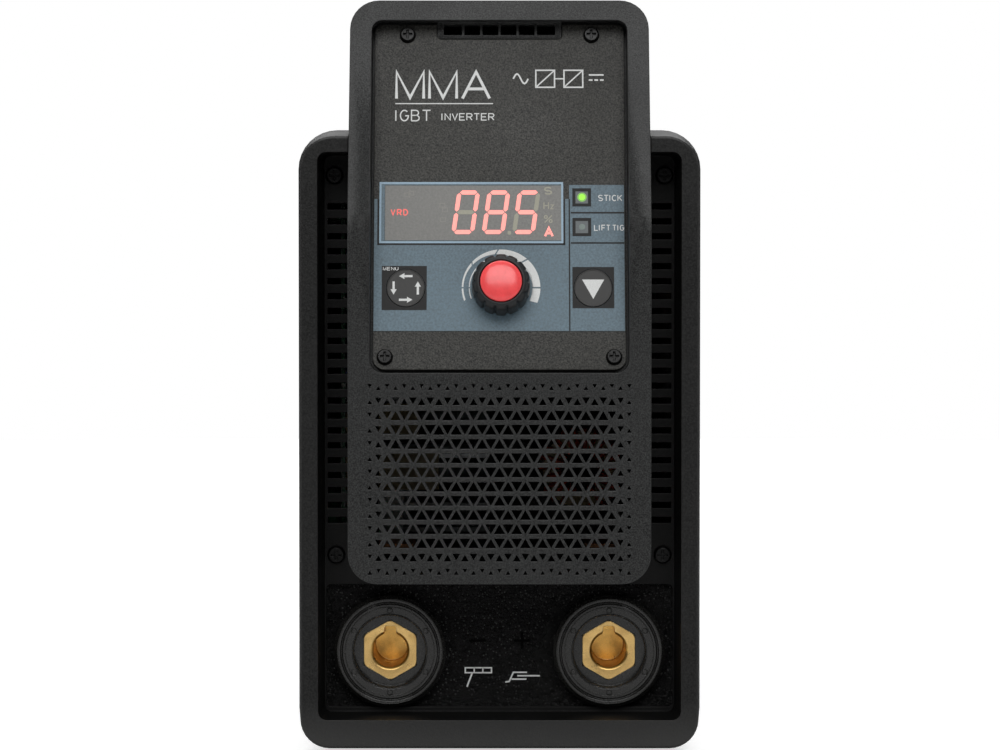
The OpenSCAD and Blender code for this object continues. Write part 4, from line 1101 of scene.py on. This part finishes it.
def make_floor():
    """A pale disc that brightens outwards into the white of the room."""
    radius = 2.4
    ring = disc(0, 0, radius, 96)
    mesh = bpy.data.meshes.new("floor")
    mesh.from_pydata([(x, y, 0) for x, y in ring], [], [range(len(ring))])
    floor = add_object("floor", mesh)
    s = Shader("floor_paint")
    tone = s.mix(s.between(s.noise(0.4, 3.0), 0.3, 0.7), (0.60, 0.60, 0.60), (0.64, 0.64, 0.64))
    away = s.add("ShaderNodeVectorMath", {0: s.place}, operation="LENGTH").outputs["Value"]
    seen = s.add("ShaderNodeLightPath").outputs["Is Camera Ray"]
    glow = s.times(s.between(away, 0.2, 1.8, 0.58, 1.0), seen)
    mesh.materials.append(s.finish(tone, 0.8, Specular_IOR_Level=0.1,
                                   Emission_Color=(1.0, 1.0, 1.0), Emission_Strength=glow))


LIT_POINT = (0, 0, 0.14)
# Name, place, size and power in watts of each soft box
SOFT_BOXES = [
    ("top_box", (0, 0.2, 1.6), (1.8, 1.4), 22),
    ("front_box", (0, -2.0, 1.55), (1.8, 1.2), 32),
    ("left_box", (-1.6, -0.2, 0.7), (0.4, 1.2), 5),
    ("right_box", (1.6, -0.2, 0.7), (0.4, 1.2), 5),
    ("back_box", (0, 1.9, 1.3), (1.8, 0.8), 12),
]


def soft_light(name, place, size, power):
    """A soft box that faces the middle of the object and that the camera doesn't see."""
    data = bpy.data.lights.new(name, "AREA")
    data.shape = "RECTANGLE"
    data.size, data.size_y = size
    data.energy = power
    lamp = add_object(name, data)
    lamp.visible_camera = False
    lamp.location = place
    towards = Vector(LIT_POINT) - Vector(place)
    lamp.rotation_euler = towards.to_track_quat("-Z", "Y").to_euler()


def make_world():
    """White for the camera, and a weak fill for everything else."""
    world = bpy.data.worlds.new("studio")
    bpy.context.scene.world = world
    world.use_nodes = True
    tree = world.node_tree
    shown = tree.nodes["Background"]
    fill = tree.nodes.new("ShaderNodeBackground")
    for background, strength in ((shown, 1.0), (fill, 0.07)):
        background.inputs["Color"].default_value = (1, 1, 1, 1)
        background.inputs["Strength"].default_value = strength
    rays = tree.nodes.new("ShaderNodeLightPath")
    choice = tree.nodes.new("ShaderNodeMixShader")
    tree.links.new(rays.outputs["Is Camera Ray"], choice.inputs[0])
    tree.links.new(fill.outputs[0], choice.inputs[1])
    tree.links.new(shown.outputs[0], choice.inputs[2])
    tree.links.new(choice.outputs[0], tree.nodes["World Output"].inputs["Surface"])


# ---- The object ----

make_camera()
make_floor()
make_world()
for box in SOFT_BOXES:
    soft_light(*box)
bpy.context.scene.view_settings.view_transform = "Standard"

SLOTS = {row["node"]: row["material_slot"] for row in frame["record"]["subparts"]}
for node, thing in frame["nodes"].items():
    thing.data.materials.clear()
    thing.data.materials.append(MATERIALS[SLOTS[node]])

LOOP_LOW, LOOP_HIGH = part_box("front_frame")


def on_loop_outline(edge):
    """Edges along the looped frame's outside, where its front turns into its sides."""
    near = 0.1 * MM
    corner = 11 * MM
    m = (edge.verts[0].co + edge.verts[1].co) / 2
    at_end = m.z > LOOP_HIGH.z - corner or m.z < LOOP_LOW.z + corner
    on_side = abs(m.x) > LOOP_HIGH.x - (corner if at_end else near)
    return on_side or m.z > LOOP_HIGH.z - near or m.z < LOOP_LOW.z + near


make_bay_grain_and_painted_shade(rounded_copy("front_bezel", "front_shell", 0.5, 2, "case_black"))
rounded_copy("front_frame", "looped_frame", 1.0, 3, "loop_black", wanted=on_loop_outline,
             reshape=widen_vents)
for node in ("negative_collar", "positive_collar"):
    rounded_copy(node, node + "_rounded", 0.35, 2, "part_black", material="collar_black")
for node in ("front_screws", "panel_screws", "cover_screws", "rear_screws"):
    rounded_copy(node, node + "_rounded", 0.15, 2, "screw_black")
for node in ("feet", "cable_gland", "cable_gland_nut", "power_switch_body"):
    rounded_copy(node, node + "_rounded", 0.4, 2, SLOTS[node])
rounded_copy("power_switch_rocker", "rocker", 0.5, 3, "switch_red", "power_rocker")
for name in ("menu", "select"):
    rounded_copy(name + "_button", name + "_button_rounded", 0.12, 2, "key_black", name + "_key")
rounded_copy("rear_panel", "rear_shell", 0.5, 2, "case_black")
rounded_copy("control_panel", "panel_plate", 0.4, 2, "panel_black")
rounded_copy("console_shell", "console", 1.2, 3, "case_black")
rounded_copy("carry_handle", "handle", 2.5, 4, "case_black")
rounded_copy("top_cover", "cover", 0.25, 1, "steel_black")
make_title()
make_display()
make_lamp_windows()
make_overlay_print()
make_key_signs()
make_key_rims()
make_knob()
make_bay_marks()
make_inserts()
make_socket_rings()
make_choke_turns()
make_rotor()
make_rating_lines()
make_rocker_signs()
